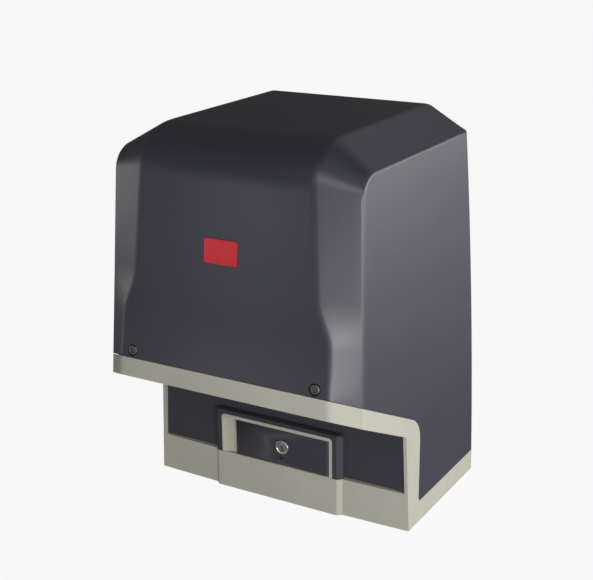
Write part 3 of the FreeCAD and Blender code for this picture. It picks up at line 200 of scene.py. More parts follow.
# %% Outer form
LEVELS = [25, 60, 100, 123, 140] + [panel_low_z + 9 * i for i in range(4)]
LEVELS += [flare_start_z + (flare_end_z - flare_start_z) * i / 9 for i in range(10)]
LEVELS += [232, 248, 264, 280]
ROLL_STEPS = 14
BAND_STEPS = 4
PANEL_STEPS = 10
widest_round = 5.0


def outer_lines(foot, inset):
    """The panel edge and the crease as matching lists of points, from the foot to the rear of the roof."""
    top = unit_height - inset
    arc_foot = crease_top_z - 0.7 * inset - crease_corner_radius
    roll_foot = top - front_corner_height
    power = 2 / front_corner_power
    edge, crease = [], []

    def edge_point(z, z_limit):
        x = panel_half(min(z, z_limit)) - 0.25 * inset
        return Vector((x, front_y(z, top) + inset + x * x / (2 * front_bow_radius), z))

    def crease_point(z, back=0.0):
        y = crease_line_y + crease_lean * (min(z, arc_foot) - front_line_z) + back
        return Vector((side_half(z) - inset, y + 0.6 * inset, z))

    for z in [foot] + LEVELS:
        edge.append(edge_point(z, crease_top_z))
        crease.append(crease_point(z))
    for i in range(ROLL_STEPS + 1):
        turn = math.pi / 2 * i / ROLL_STEPS
        z = roll_foot + front_corner_height * math.sin(turn) ** power
        edge.append(edge_point(min(z, top), crease_top_z))
        crease.append(crease_point(arc_foot + crease_corner_radius * math.sin(turn),
                                   crease_corner_radius * (1 - math.cos(turn))))
    for share in (0.12, 0.35, 0.6, 0.85, 1.0):
        for line in (edge, crease):
            start = line[len(LEVELS) + 1 + ROLL_STEPS]
            line.append(Vector((start.x, start.y + (rear_y(start.z) - inset - start.y) * share,
                                start.z)))
    return edge, crease


def outer_form(foot, inset, rounded=True):
    """Closed solid of the outer form, in metres."""
    bm = bmesh.new()
    weight = bm.edges.layers.float.new("bevel_weight_edge")
    edge, crease = outer_lines(foot, inset)
    upright = len(LEVELS) + 1 + ROLL_STEPS + 1
    known = {}

    def vert(p):
        key = tuple(round(c, 5) for c in p)
        if key not in known:
            known[key] = bm.verts.new(Vector(p) * MM)
        return known[key]

    def patch(rows):
        for low, high in zip(rows, rows[1:]):
            for a, b, c, d in zip(low, low[1:], high[1:], high):
                bm.faces.new([vert(p) for p in (a, b, c, d)])

    def weigh(line, value):
        for a, b in zip(line, line[1:]):
            bm.edges.get((vert(a), vert(b)))[weight] = value / widest_round

    def flip(p):
        return Vector((-p.x, p.y, p.z))

    panel = []
    for p in edge[:upright]:
        centre = p.y - p.x ** 2 / (2 * front_bow_radius)
        xs = [p.x * (2 * k / PANEL_STEPS - 1) for k in range(PANEL_STEPS + 1)]
        panel.append([Vector((x, centre + x * x / (2 * front_bow_radius), p.z)) for x in xs])
    patch(panel)
    for mirror in (False, True):
        side_edge = [flip(p) if mirror else p for p in edge]
        side_crease = [flip(p) if mirror else p for p in crease]
        patch([[a.lerp(b, k / BAND_STEPS) for k in range(BAND_STEPS + 1)]
               for a, b in zip(side_edge, side_crease)])
        back = [Vector((p.x, rear_y(p.z) - inset, p.z)) for p in side_crease[:upright]]
        outline = side_crease + list(reversed(back))[1:]
        bm.faces.new([vert(p) for p in outline])
        if rounded:
            weigh(side_edge, 3.4)
            weigh(side_crease, 2.1)
            band_end = [side_edge[-1].lerp(side_crease[-1], k / BAND_STEPS)
                        for k in range(BAND_STEPS + 1)]
            weigh(band_end, 5.0)
            weigh(list(reversed(back)), 5.0)
    right_back = [Vector((p.x, rear_y(p.z) - inset, p.z)) for p in crease[:upright]]
    for low, high in zip(right_back, right_back[1:]):
        bm.faces.new([vert(p) for p in (low, flip(low), flip(high), high)])
    band_end = [edge[-1].lerp(crease[-1], k / BAND_STEPS) for k in range(BAND_STEPS + 1)]
    bm.faces.new([vert(p) for p in band_end] + [vert(flip(p)) for p in reversed(band_end)])
    roof_side = edge[upright:]
    roof = panel[-1] + roof_side + [flip(p) for p in reversed(roof_side)]
    bm.faces.new([vert(p) for p in roof])
    if rounded:
        weigh([edge[-1], flip(edge[-1])], 5.0)
    foot_ring = panel[0] + [edge[0].lerp(crease[0], k / BAND_STEPS) for k in range(1, BAND_STEPS + 1)]
    foot_ring += [right_back[0], flip(right_back[0])]
    foot_ring += [flip(edge[0].lerp(crease[0], k / BAND_STEPS)) for k in range(BAND_STEPS, 0, -1)]
    bm.faces.new([vert(p) for p in foot_ring])
    bmesh.ops.recalc_face_normals(bm, faces=bm.faces)
    print("open edges", sum(1 for e in bm.edges if len(e.link_faces) != 2))
    return bm


# %% [markdown]
# Small workshop tools: a mesh becomes an object, one solid is cut from or joined to another, and thin
# outlines are pulled out into blocks. Cutting is exact, so that the seams between hood and base keep the
# gap that the mouldings have.

# %% Workshop tools
def as_object(bm, name):
    mesh = bpy.data.meshes.new(name)
    bm.to_mesh(mesh)
    bm.free()
    made = bpy.data.objects.new(name, mesh)
    bpy.context.scene.collection.objects.link(made)
    return made


def copy_of(obj, name):
    made = obj.copy()
    made.data = obj.data.copy()
    made.name = name
    bpy.context.scene.collection.objects.link(made)
    return made


def settle(obj):
    """Turns an object's modifiers into plain mesh."""
    bpy.context.view_layer.update()
    graph = bpy.context.evaluated_depsgraph_get()
    mesh = bpy.data.meshes.new_from_object(obj.evaluated_get(graph))
    old = obj.data
    obj.modifiers.clear()
    obj.data = mesh
    bpy.data.meshes.remove(old)
    return obj


def combine(obj, other, operation):
    """Exact boolean of two objects; the second one is used up."""
    step = obj.modifiers.new("combine", "BOOLEAN")
    step.object = other
    step.operation = operation
    step.solver = "EXACT"
    settle(obj)
    bpy.data.objects.remove(other)
    return obj


def prism(points, direction, name="block"):
    """Closed outline of 3-D points (millimetres) pulled along a direction."""
    bm = bmesh.new()
    face = bm.faces.new([bm.verts.new(Vector(p) * MM) for p in points])
    made = bmesh.ops.extrude_face_region(bm, geom=[face])
    moved = [v for v in made["geom"] if isinstance(v, bmesh.types.BMVert)]
    bmesh.ops.translate(bm, verts=moved, vec=Vector(direction) * MM)
    bmesh.ops.recalc_face_normals(bm, faces=bm.faces)
    return as_object(bm, name)


def rounded_outline(points, radii, steps=8):
    """2-D outline with each corner rounded by a true arc."""
    made = []
    count = len(points)
    for i in range(count):
        here = Vector(points[i])
        radius = radii[i] if isinstance(radii, (list, tuple)) else radii
        back = (Vector(points[i - 1]) - here).normalized()
        ahead = (Vector(points[(i + 1) % count]) - here).normalized()
        if radius <= 0:
            made.append(here)
            continue
        half = back.angle(ahead) / 2
        centre = here + (back + ahead).normalized() * (radius / math.sin(half))
        start = here + back * (radius / math.tan(half)) - centre
        end = here + ahead * (radius / math.tan(half)) - centre
        turn = start.angle_signed(end)
        for k in range(steps + 1):
            angle = -turn * k / steps
            made.append(centre + Vector((start.x * math.cos(angle) - start.y * math.sin(angle),
                                         start.x * math.sin(angle) + start.y * math.cos(angle))))
    return made


def side_prism(points, x0, x1, radii=0, steps=8):
    """Outline given as (y, z), pulled along X."""
    outline = rounded_outline(points, radii, steps)
    return prism([(x0, p.x, p.y) for p in outline], (x1 - x0, 0, 0))


def front_prism(points, y0, y1, radii=0, steps=8):
    """Outline given as (x, z), pulled along Y."""
    outline = rounded_outline(points, radii, steps)
    return prism([(p.x, y0, p.y) for p in outline], (0, y1 - y0, 0))


def plan_prism(points, z0, z1, radii=0, steps=8):
    """Outline given as (x, y), pulled along Z."""
    outline = rounded_outline(points, radii, steps)
    return prism([(p.x, p.y, z0) for p in outline], (0, 0, z1 - z0))


def rod(radius, centre, direction, length, sides=48):
    """Cylinder from a point (millimetres) along a direction."""
    bm = bmesh.new()
    bmesh.ops.create_cone(bm, cap_ends=True, segments=sides, radius1=radius * MM,
                          radius2=radius * MM, depth=length * MM)
    bmesh.ops.translate(bm, verts=bm.verts, vec=(0, 0, length * MM / 2))
    turn = Vector((0, 0, 1)).rotation_difference(Vector(direction)).to_matrix().to_4x4()
    bmesh.ops.transform(bm, matrix=Matrix.Translation(Vector(centre) * MM) @ turn, verts=bm.verts)
    return as_object(bm, "rod")


def soften(obj, width, segments=3, angle=30.0):
    """Small round on every sharp edge, and shading that keeps flat faces flat."""
    edge = obj.modifiers.new("edges", "BEVEL")
    edge.width = width * MM
    edge.segments = segments
    edge.limit_method = "ANGLE"
    edge.angle_limit = math.radians(angle)
    edge.use_clamp_overlap = True
    obj.data.shade_smooth()
    even = obj.modifiers.new("even shading", "WEIGHTED_NORMAL")
    even.keep_sharp = False
    even.weight = 80
    return obj


def hood_side(gap):
    """All that the hood may fill, seen from the side."""
    lift = gap * math.hypot(1.0, band_slope)
    far = -260.0
    points = [(far, band_z(far) + lift), (strip_top_y + gap, band_z(strip_top_y + gap) + lift),
              (strip_foot_y + gap, side_sill_z + gap), (160.0, side_sill_z + gap),
              (160.0, 420.0), (far, 420.0)]
    return side_prism(points, -200, 200, [0, strip_corner_radius, strip_foot_radius, 0, 0, 0], 14)


# %% [markdown]
# The hood is one thin moulding, 3 mm thick, open below and at the slot round the output shaft. It is made
# as the outer form less the same form 3 mm smaller, then trimmed to the slanting band of the base. Two
# recesses for its screws and a shallow pocket for the plate are cut into the front.

# %% Hood
hood_screw_x = 85.3
hood_screw_z = 151.3
hood_screw_head = 4.2
screw_lean = math.radians(6.0)
screw_recess = 2.3
badge_width = 30.0
badge_height = 19.5
badge_z = 245.5

outer = as_object(outer_form(-12.0, 0.0), "outer_form")
rounding = outer.modifiers.new("rounding", "BEVEL")
rounding.width = widest_round * MM
rounding.segments = 5
rounding.limit_method = "WEIGHT"
rounding.use_clamp_overlap = False
settle(outer)
hood = copy_of(outer, "hood_moulding")
combine(hood, as_object(outer_form(-20.0, hood_wall, False), "hood_inside"), "DIFFERENCE")
combine(hood, hood_side(seam), "INTERSECT")
slot = [(-40, -20), (40, -20), (40, 120), (19, 168), (-19, 168), (-40, 120)]
combine(hood, front_prism(slot, 40, 100, [0, 0, 14, 6, 6, 14]), "DIFFERENCE")
screw_front_y = front_y(hood_screw_z, unit_height) + hood_screw_x ** 2 / (2 * front_bow_radius)
seat_y = screw_front_y + screw_recess
screw_axis = Vector((0, -math.cos(screw_lean), math.sin(screw_lean)))
for side in (-1, 1):
    seat = Vector((side * hood_screw_x, seat_y, hood_screw_z))
    combine(hood, rod(6.4, seat - screw_axis * 6.3, screw_axis, 6.6), "UNION")
    combine(hood, rod(hood_screw_head + 0.8, seat, screw_axis, 12), "DIFFERENCE")
    combine(hood, rod(2.3, seat - screw_axis * 8, screw_axis, 10, 24), "DIFFERENCE")
badge_y = front_y(badge_z, unit_height)
badge_turn = Matrix.Rotation(-math.atan(front_lean), 4, "X")


def badge_block(width, height, inward, outward, radius=1.2):
    block = front_prism([(-width / 2, -height / 2), (width / 2, -height / 2),
                         (width / 2, height / 2), (-width / 2, height / 2)],
                        -outward, inward, radius, 6)
    block.data.transform(Matrix.Translation(Vector((0, badge_y, badge_z)) * MM) @ badge_turn)
    return block


combine(hood, badge_block(badge_width + 0.4, badge_height + 0.4, 1.0, 10), "DIFFERENCE")
soften(hood, 0.45)
print("hood faces", len(hood.data.polygons))

# %% [markdown]
# The base is the lower part of the same outer form. Its collar runs up round the foot of the hood at a
# slant, and below the collar the front steps back to a low block that carries the release door. A wide
# window in that step takes the dark front panel. Inside it is hollow down to the floor, which has four
# slots for the anchor bolts and an opening for the cables.

# %% Base
far = 260.0


def front_space(inset):
    """Space in front of the lower body and under the slanting collar."""
    plan_half = 160.0
    corner_sag = (base_width / 2) ** 2 / (2 * base_bow_radius)
    steps = 24
    xs = [plan_half * (2 * k / steps - 1) for k in range(steps + 1)]
    plan = [(x, base_front_y - corner_sag + x * x / (2 * base_bow_radius) + inset) for x in xs]
    block = plan_prism(plan + [(plan_half, -far), (-plan_half, -far)], -30, 280)
    lift = inset * math.hypot(1.0, band_slope)
    under = side_prism([(-far - 10, -40), (0, -40), (0, band_z(0, band_height) + lift),
                        (-far - 10, band_z(-far - 10, band_height) + lift)], -200, 200)
    return combine(block, under, "INTERSECT")


def block_of(x0, x1, y0, y1, z0, z1):
    return plan_prism([(x0, y0), (x1, y0), (x1, y1), (x0, y1)], z0, z1)


base = copy_of(outer, "base_moulding")
combine(base, block_of(-200, 200, -300, 300, -60, 0), "DIFFERENCE")
combine(base, front_space(0.0), "DIFFERENCE")
hollow = as_object(outer_form(-20.0, base_wall, False), "hollow")
combine(hollow, front_space(base_wall), "DIFFERENCE")
combine(hollow, block_of(-200, 200, -300, 300, -60, floor_thickness), "DIFFERENCE")
combine(base, hollow, "DIFFERENCE")
combine(base, hood_side(0.0), "DIFFERENCE")
bulge_plan = [(-bulge_foot_half, base_front_y + 6), (-bulge_foot_half, base_front_y - 1.5),
              (-bulge_half, bulge_y), (bulge_half, bulge_y),
              (bulge_foot_half, base_front_y - 1.5), (bulge_foot_half, base_front_y + 6)]
bulge_radii = [0, 1.0, bulge_corner, bulge_corner, 1.0, 0]
combine(base, plan_prism(bulge_plan, 0, window_sill_z, bulge_radii, 5), "UNION")
combine(base, block_of(-bulge_half + 4, bulge_half - 4, bulge_y + base_wall, -60,
                       floor_thickness, window_sill_z + 1), "DIFFERENCE")


def window_block(edge, y0, y1, low_z, high_gap):
    """Wedge of the window: sides follow the lean of the body, the top follows the collar."""
    bm = bmesh.new()
    rings = []
    for y in (y0, y1):
        high_z = band_z(y, band_height) - high_gap
        ring = [(-(side_half(low_z) - edge), y, low_z), (side_half(low_z) - edge, y, low_z),
                (side_half(high_z) - edge, y, high_z), (-(side_half(high_z) - edge), y, high_z)]
        rings.append([bm.verts.new(Vector(p) * MM) for p in ring])
    for i in range(4):
        j = (i + 1) % 4
        bm.faces.new((rings[0][i], rings[0][j], rings[1][j], rings[1][i]))
    bm.faces.new(rings[0])
    bm.faces.new(rings[1])
    bmesh.ops.recalc_face_normals(bm, faces=bm.faces)
    return as_object(bm, "window")


combine(base, window_block(window_edge, -90, base_front_y + 9, window_sill_z, 0.0), "DIFFERENCE")
lip = as_object(outer_form(-20.0, 4.0, False), "lip")
combine(lip, as_object(outer_form(-25.0, 6.0, False), "lip_inside"), "DIFFERENCE")
combine(lip, hood_side(-8.0), "INTERSECT")
combine(lip, hood_side(8.0), "DIFFERENCE")
combine(lip, block_of(-200, 200, -300, 300, -60, floor_thickness - 2), "DIFFERENCE")
combine(lip, block_of(-46, 46, 30, 100, -60, 400), "DIFFERENCE")
for side in (-1, 1):
    combine(lip, block_of(side * hood_screw_x - 10, side * hood_screw_x + 10, -180, -130, 130, 175),
            "DIFFERENCE")
combine(base, lip, "UNION")
for x, y in ((-88, -8), (-88, 34), (78, -8), (78, 34)):
    combine(base, rod(11.0, (x, y, 1.0), (0, 0, 1), 13.0), "UNION")
for side in (-1, 1):
    low_x, high_x = side * 70 - 6, side * 70 + 6
    post = block_of(low_x, high_x, -113, -103, 107, 152)
    guard = copy_of(outer, "guard")
    combine(guard, front_space(2.0), "DIFFERENCE")
    combine(post, guard, "INTERSECT")
    combine(base, post, "UNION")
    combine(base, rod(1.62, (side * 70, -114, 146), (0, 1, 0), 10, 24), "DIFFERENCE")
    seat = Vector((side * hood_screw_x, seat_y, hood_screw_z))
    tab = plan_prism([(-7, -26), (7, -26), (7, 7), (-7, 7)], -9.6, -6.6)
    combine(tab, plan_prism([(-2.4, -2.4), (2.4, -2.4), (2.4, 20), (-2.4, 20)], -40, 10), "DIFFERENCE")
    tab.data.transform(Matrix.Translation(seat * MM) @ Matrix.Rotation(math.pi / 2 - screw_lean, 4, "X"))
    guard = copy_of(outer, "guard")
    combine(guard, front_space(2.0), "DIFFERENCE")
    combine(tab, guard, "INTERSECT")
    combine(base, tab, "UNION")
    for depth in (-45, 45):
        slot = plan_prism([(side * 100 - 10, depth - 5.5), (side * 100 + 10, depth - 5.5),
                           (side * 100 + 10, depth + 5.5), (side * 100 - 10, depth + 5.5)],
                          -2, 20, 5.4, 10)
        combine(base, slot, "DIFFERENCE")
combine(base, plan_prism([(-64, -59), (4, -59), (4, -35), (-64, -35)], -2, 20, 5.0), "DIFFERENCE")
combine(base, rod(pin_radius + 0.02, (hinge_x, hinge_y, 27.5), (0, 0, 1), 10, 24), "DIFFERENCE")
soften(base, 0.6)
print("base faces", len(base.data.polygons))

# %% [markdown]
# The dark front panel fills the window, and its middle swells into a block round the release door with
# soft edges all round. A pocket in the block takes the light frame of the door.

# %% Front panel
panel_y = base_front_y + panel_setback
panel = window_block(window_edge + panel_gap, panel_y, panel_y + panel_thickness,
                     window_sill_z + panel_gap, 0.3)
panel.name = "front_panel_moulding"
bulge = plan_prism(bulge_plan, window_sill_z + panel_gap, bulge_top_z, bulge_radii, 5)
combine(bulge, front_prism([(-bulge_foot_half, 0), (bulge_foot_half, 0),
                            (bulge_foot_half, bulge_top_z), (-bulge_foot_half, bulge_top_z)],
                           -100, 0, [0, 0, bulge_top_corner, bulge_top_corner], 6), "INTERSECT")
combine(bulge, block_of(-200, 200, panel_y + panel_thickness, 0, -10, 200), "DIFFERENCE")
combine(panel, bulge, "UNION")
pocket_half, pocket_top = rim_half + rim_gap, rim_top_z + rim_gap
combine(panel, front_prism([(-pocket_half, 0), (pocket_half, 0), (pocket_half, pocket_top),
                            (-pocket_half, pocket_top)], -100, 0,
                           [0, 0, rim_corner + rim_gap, rim_corner + rim_gap], 6), "DIFFERENCE")
soften(panel, 1.1, 4)

# %% [markdown]
# The light frame stands round the door with a narrow rim above and to the right, and to the left a wide
# scoop for the finger that swings the door open. Behind the door it has openings for the lock, for the
# lock's tongue and for the cam that draws the release rod.

# %% Release frame
frame_front_y = bulge_y + 0.1
frame_low_z = window_sill_z + rim_gap
door_left = -rim_half + scoop_width
door_low_z = window_sill_z + 0.9
door_high_z = rim_top_z - rim_width - door_gap
rim = front_prism([(-rim_half, frame_low_z), (rim_half, frame_low_z), (rim_half, rim_top_z),
                   (-rim_half, rim_top_z)], frame_front_y, frame_back_y,
                  [0.2, 0.2, rim_corner, rim_corner], 6)
rim.name = "release_frame_moulding"
space_high_z = door_high_z + door_gap
combine(rim, block_of(door_left - 1, rim_half - rim_width, -100, hinge_y + hinge_radius + 0.6,
                      frame_low_z + 0.4, space_high_z), "DIFFERENCE")
combine(rim, plan_prism([(-rim_half + 1.2, -80), (-rim_half + 1.2, frame_front_y + 0.4),
                         (door_left + 6, frame_front_y + scoop_depth + 0.9), (door_left + 6, -80)],
                        frame_low_z + 0.4, space_high_z), "DIFFERENCE")
combine(rim, rod(lock_barrel_radius + 3.2, (lock_x, -75, lock_z), (0, 1, 0), 25), "DIFFERENCE")
combine(rim, block_of(lock_x - 5.5, lock_x + 4.5, -69.5, -50, lock_z, lock_z + 15), "DIFFERENCE")
combine(rim, block_of(hinge_x - 12.5, rim_half - 1, hinge_y - 1, -50, cam_low_z - 0.6,
                      cam_high_z + 0.6), "DIFFERENCE")
combine(rim, rod(pin_radius + 0.02, (hinge_x, hinge_y, 20), (0, 0, 1), rim_top_z - 20.8, 24),
        "DIFFERENCE")
soften(rim, 1.2, 4)

# %% [markdown]
# The release door is a flat plate with a round knuckle down its right-hand edge, split in the middle for
# the cam. Below the lock a small pip is sunk into the face.

# %% Release door
door = block_of(door_left, hinge_x, door_face_y, door_face_y + door_thickness, door_low_z, door_high_z)
door.name = "release_door_moulding"
combine(door, rod(hinge_radius, (hinge_x, hinge_y, door_low_z), (0, 0, 1), door_high_z - door_low_z),
        "UNION")
cavity = 2.5
nose_room = hinge_radius * math.sqrt(0.5)
combine(door, rod(cavity, (hinge_x, hinge_y, cam_low_z - 0.2), (0, 0, 1), 10.4, 32), "DIFFERENCE")
combine(door, block_of(hinge_x - cavity, hinge_x + 10, hinge_y - 0.2, -50, cam_low_z - 0.2,
                       cam_high_z + 0.2), "DIFFERENCE")
combine(door, block_of(hinge_x + nose_room, hinge_x + 10, hinge_y - nose_room, -50,
                       cam_low_z - 0.2, cam_high_z + 0.2), "DIFFERENCE")
combine(door, rod(pin_radius + 0.02, (hinge_x, hinge_y, 20), (0, 0, 1), 60, 24), "DIFFERENCE")
combine(door, rod(lock_barrel_radius + 0.02, (lock_x, -90, lock_z), (0, 1, 0), 40, 64), "DIFFERENCE")
combine(door, rod(lock_radius + 0.15, (lock_x, -90, lock_z), (0, 1, 0), 90 + door_face_y + 0.9, 64),
        "DIFFERENCE")
combine(door, rod(2.0, (lock_x - 1, -90, lock_z - 9.6), (0, 1, 0), 90 + door_face_y + 2.4, 32),
        "DIFFERENCE")
soften(door, 0.45, 3)

# %% [markdown]
# The lock is turned in one piece: a bezel with a rolled edge stands just proud of the door, and its
# barrel passes through. The plug turns inside it, and in its key slot the edges of the brass tumblers
# show as a warm stripe.

# %% Lock
lock_face_y = door_face_y - 0.9


def turned(profile, name, steps=96):
    """Spins a closed outline of (radius, depth behind the lock's face) round the lock's axis."""
    bm = bmesh.new()
    ring = [bm.verts.new((r * MM, d * MM, 0)) for r, d in profile]
    edges = [bm.edges.new((a, b)) for a, b in zip(ring, ring[1:] + ring[:1])]
    bmesh.ops.spin(bm, geom=ring + edges, cent=(0, 0, 0), axis=(0, 1, 0), dvec=(0, 0, 0),
                   angle=2 * math.pi, steps=steps)
    bmesh.ops.remove_doubles(bm, verts=bm.verts, dist=1e-6)
    bmesh.ops.translate(bm, verts=bm.verts, vec=Vector((lock_x, lock_face_y, lock_z)) * MM)
    bmesh.ops.recalc_face_normals(bm, faces=bm.faces)
    return as_object(bm, name)


inner_radius = plug_radius + 0.06
bezel = [(inner_radius, lock_depth), (inner_radius, 0.75), (inner_radius + 0.3, 0.35),
         (inner_radius + 0.7, 0.3), (inner_radius + 1.0, 0.02), (lock_radius - 0.75, 0.0),
         (lock_radius - 0.3, 0.12), (lock_radius - 0.06, 0.4), (lock_radius, 0.75),
         (lock_radius, 1.75), (lock_barrel_radius, 1.75), (lock_barrel_radius, lock_depth)]
housing = turned(bezel, "lock_barrel")
housing.data.shade_smooth()
soften(housing, 0.12, 2, 35)

plug = turned([(0.001, 0.42), (plug_radius - 0.5, 0.4), (plug_radius - 0.12, 0.5), (plug_radius, 0.8),
               (plug_radius, lock_depth + 0.4), (0.001, lock_depth + 0.4)], "lock_plug_turned")
tail_y = lock_face_y + lock_depth + 0.3
combine(plug, block_of(lock_x - 2, lock_x + 2, tail_y, tail_y + 2.5, lock_z - 2, lock_z + 2), "UNION")
combine(plug, block_of(lock_x - 0.8, lock_x + 0.8, -90, lock_face_y + 9, lock_z - 3.0, lock_z + 3.0),
        "DIFFERENCE")
soften(plug, 0.1, 2, 35)

bm = bmesh.new()
for k in range(5):
    made = bmesh.ops.create_cube(bm, size=1.0)["verts"]
    bmesh.ops.scale(bm, verts=made, vec=(1.56 * MM, 0.9 * MM, 5.4 * MM))
    depth = lock_face_y + 1.4 + k * 1.5
    bmesh.ops.translate(bm, verts=made, vec=Vector((lock_x, depth, lock_z + 0.12 * (k % 3 - 1))) * MM)
tumblers = as_object(bm, "lock_tumblers")
soften(tumblers, 0.15, 2)

# %% [markdown]
# The coloured plate sits in its shallow pocket on the hood. It is flat and blank, with a fine raised
# border. The two hood screws are pan heads with a hexagon socket.

# %% Plate and screws
badge = badge_block(badge_width, badge_height, 0.95, 0.75, 1.6)
badge.name = "hood_plate"
inlay = badge_block(badge_width - 2.2, badge_height - 2.2, -0.55, 3.0, 1.0)
combine(badge, inlay, "DIFFERENCE")
soften(badge, 0.25, 3)

screw_pair = bmesh.new()
for side in (-1, 1):
    seat = Vector((side * hood_screw_x, seat_y, hood_screw_z))
    part = rod(hood_screw_head, (0, 0, 0.02), (0, 0, 1), 2.5, 64)
    head_round = part.modifiers.new("round", "BEVEL")
    head_round.width = 0.9 * MM
    head_round.segments = 5
    head_round.limit_method = "ANGLE"
    settle(part)
    outline = [(2.3 * math.cos(math.radians(60 * k)), 2.3 * math.sin(math.radians(60 * k)))
               for k in range(6)]
    combine(part, plan_prism(outline, 1.0, 4.0), "DIFFERENCE")
    combine(part, rod(2.0, (0, 0, -15), (0, 0, 1), 15.1, 32), "UNION")
    part.data.transform(Matrix.Translation(seat * MM)
                        @ Matrix.Rotation(math.pi / 2 - screw_lean, 4, "X"))
    screw_pair.from_mesh(part.data)
    bpy.data.objects.remove(part)
screws = as_object(screw_pair, "hood_screw_pair")
soften(screws, 0.12, 2, 35)
bpy.data.objects.remove(outer)

# %% [markdown]
# Surfaces are built from patterns that run through the solid material, so that grain and wear have a real
# size in millimetres. A field stands for one such pattern and can be added and multiplied like a number,
# which keeps each finish to a few lines.

# %% Fields and finishes
class Field:
    """A pattern over the surface that calculates like a number."""

    def __init__(self, tree, socket):
        self.tree = tree
        self.socket = socket

    def calc(self, operation, first, second=None, clamp=False):
        node = self.tree.nodes.new("ShaderNodeMath")
        node.operation = operation
        node.use_clamp = clamp
        for entry, value in zip(node.inputs, (first, second)):
            if isinstance(value, Field):
                self.tree.links.new(value.socket, entry)
            elif value is not None:
                entry.default_value = value
        return Field(self.tree, node.outputs[0])

    def __add__(self, other):
        return self.calc("ADD", self, other)

    def __radd__(self, other):
        return self.calc("ADD", other, self)

    def __sub__(self, other):
        return self.calc("SUBTRACT", self, other)

    def __rsub__(self, other):
        return self.calc("SUBTRACT", other, self)

    def __mul__(self, other):
        return self.calc("MULTIPLY", self, other)

    def __rmul__(self, other):
        return self.calc("MULTIPLY", other, self)

    def __truediv__(self, other):
        return self.calc("DIVIDE", self, other)

    def __rtruediv__(self, other):
        return self.calc("DIVIDE", other, self)

    def __pow__(self, other):
        return self.calc("POWER", self, other)

    def above(self, edge, softness):
        """0 below the edge and 1 above it, with a soft change between."""
        return self.calc("MULTIPLY", self - (edge - softness / 2), 1.0 / softness, clamp=True)


class Finish:
    """One material: constants sit on the shader itself, and only patterns are linked."""

    def __init__(self, name, **constants):
        self.material = bpy.data.materials.new(name)
        self.material.use_nodes = True
        self.tree = self.material.node_tree
        self.shader = self.tree.nodes["Principled BSDF"]
        for key, value in constants.items():
            self.shader.inputs[key.replace("_", " ")].default_value = value
        self.place = self.node("ShaderNodeTexCoord", "Object")

    def node(self, kind, output=0, links=None, values=None, **settings):
        """Any other node: settings go on it, links and values go to its inputs."""
        made = self.tree.nodes.new(kind)
        for key, value in settings.items():
            setattr(made, key, value)
        for key, value in (values or {}).items():
            made.inputs[key].default_value = value
        for key, value in (links or {}).items():
            self.tree.links.new(value.socket, made.inputs[key])
        return Field(self.tree, made.outputs[output])

    def stretched(self, scale):
        return self.node("ShaderNodeMapping", links={"Vector": self.place}, values={"Scale": scale})

    def noise(self, size, detail=2.0, rough=0.5, scale=None):
        """Cloudy pattern whose patches measure about size millimetres."""
        place = self.stretched(scale) if scale else self.place
        return self.node("ShaderNodeTexNoise", "Fac", {"Vector": place},
                         {"Scale": 1000.0 / size, "Detail": detail, "Roughness": rough})

    def cells(self, size, output="Distance", feature="F1"):
        return self.node("ShaderNodeTexVoronoi", output, {"Vector": self.place},
                         {"Scale": 1000.0 / size}, feature=feature)

    def part(self, axis):
        """One coordinate of the place, in metres."""
        return self.node("ShaderNodeSeparateXYZ", axis, {"Vector": self.place})

    def colour(self, low, high, field):
        """Sets the base colour between two colours by a field."""
        mixed = self.node("ShaderNodeMix", 2, {0: field}, {6: (*low, 1.0), 7: (*high, 1.0)},
                          data_type="RGBA", clamp_factor=True)
        self.tree.links.new(mixed.socket, self.shader.inputs["Base Color"])
        return mixed

    def blend_colours(self, base, other, field):
        mixed = self.node("ShaderNodeMix", 2, {0: field, 6: base}, {7: (*other, 1.0)},
                          data_type="RGBA", clamp_factor=True)
        self.tree.links.new(mixed.socket, self.shader.inputs["Base Color"])
        return mixed

    def feed(self, socket, field):
        self.tree.links.new(field.socket, self.shader.inputs[socket])

    def bump(self, height, depth, strength=1.0):
        """Relief whose full height is depth millimetres."""
        relief = self.node("ShaderNodeBump", "Normal", {"Height": height},
                           {"Distance": depth * MM, "Strength": strength})
        self.tree.links.new(relief.socket, self.shader.inputs["Normal"])


def lighter(colour, factor):
    return tuple(min(v * factor, 1.0) for v in colour)


# %% [markdown]
# Outer plastics. The hood is moulded in a tool with a fine eroded texture, which scatters the light into
# a soft satin. The base is the same kind of moulding in warm light grey, and gathers a little dust low
# down. The front panel and the plate are smoother.

# %% Outer finishes
def moulded(name, colour, rough, grain, depth, dust=0.0, dust_colour=(0.5, 0.47, 0.4), **constants):
    """Textured injection moulding: eroded grain, faint flow marks and handling sheen."""
    made = Finish(name, **constants)
    grain_field = made.noise(grain, 3.0, 0.6)
    pits = made.cells(grain * 1.7)
    cloud = made.noise(60.0, 2.0, 0.5)
    flow = made.noise(14.0, 3.0, 0.55, (1.0, 1.0, 0.35))
    shade = cloud * 0.5 + flow * 0.3 + grain_field * 0.2
    base = made.colour(lighter(colour, 0.86), lighter(colour, 1.16), shade)
    if dust:
        height = made.part("Z")
        low_down = 1.0 - height.above(0.05, 0.11)
        patchy = made.noise(9.0, 4.0, 0.65).above(0.48, 0.3)
        made.blend_colours(base, dust_colour, low_down * patchy * dust)
    made.feed("Roughness", rough - 0.05 + cloud * 0.06 + grain_field * 0.05)
    made.bump(grain_field * 0.7 + pits * 0.3, depth)
    return made.material


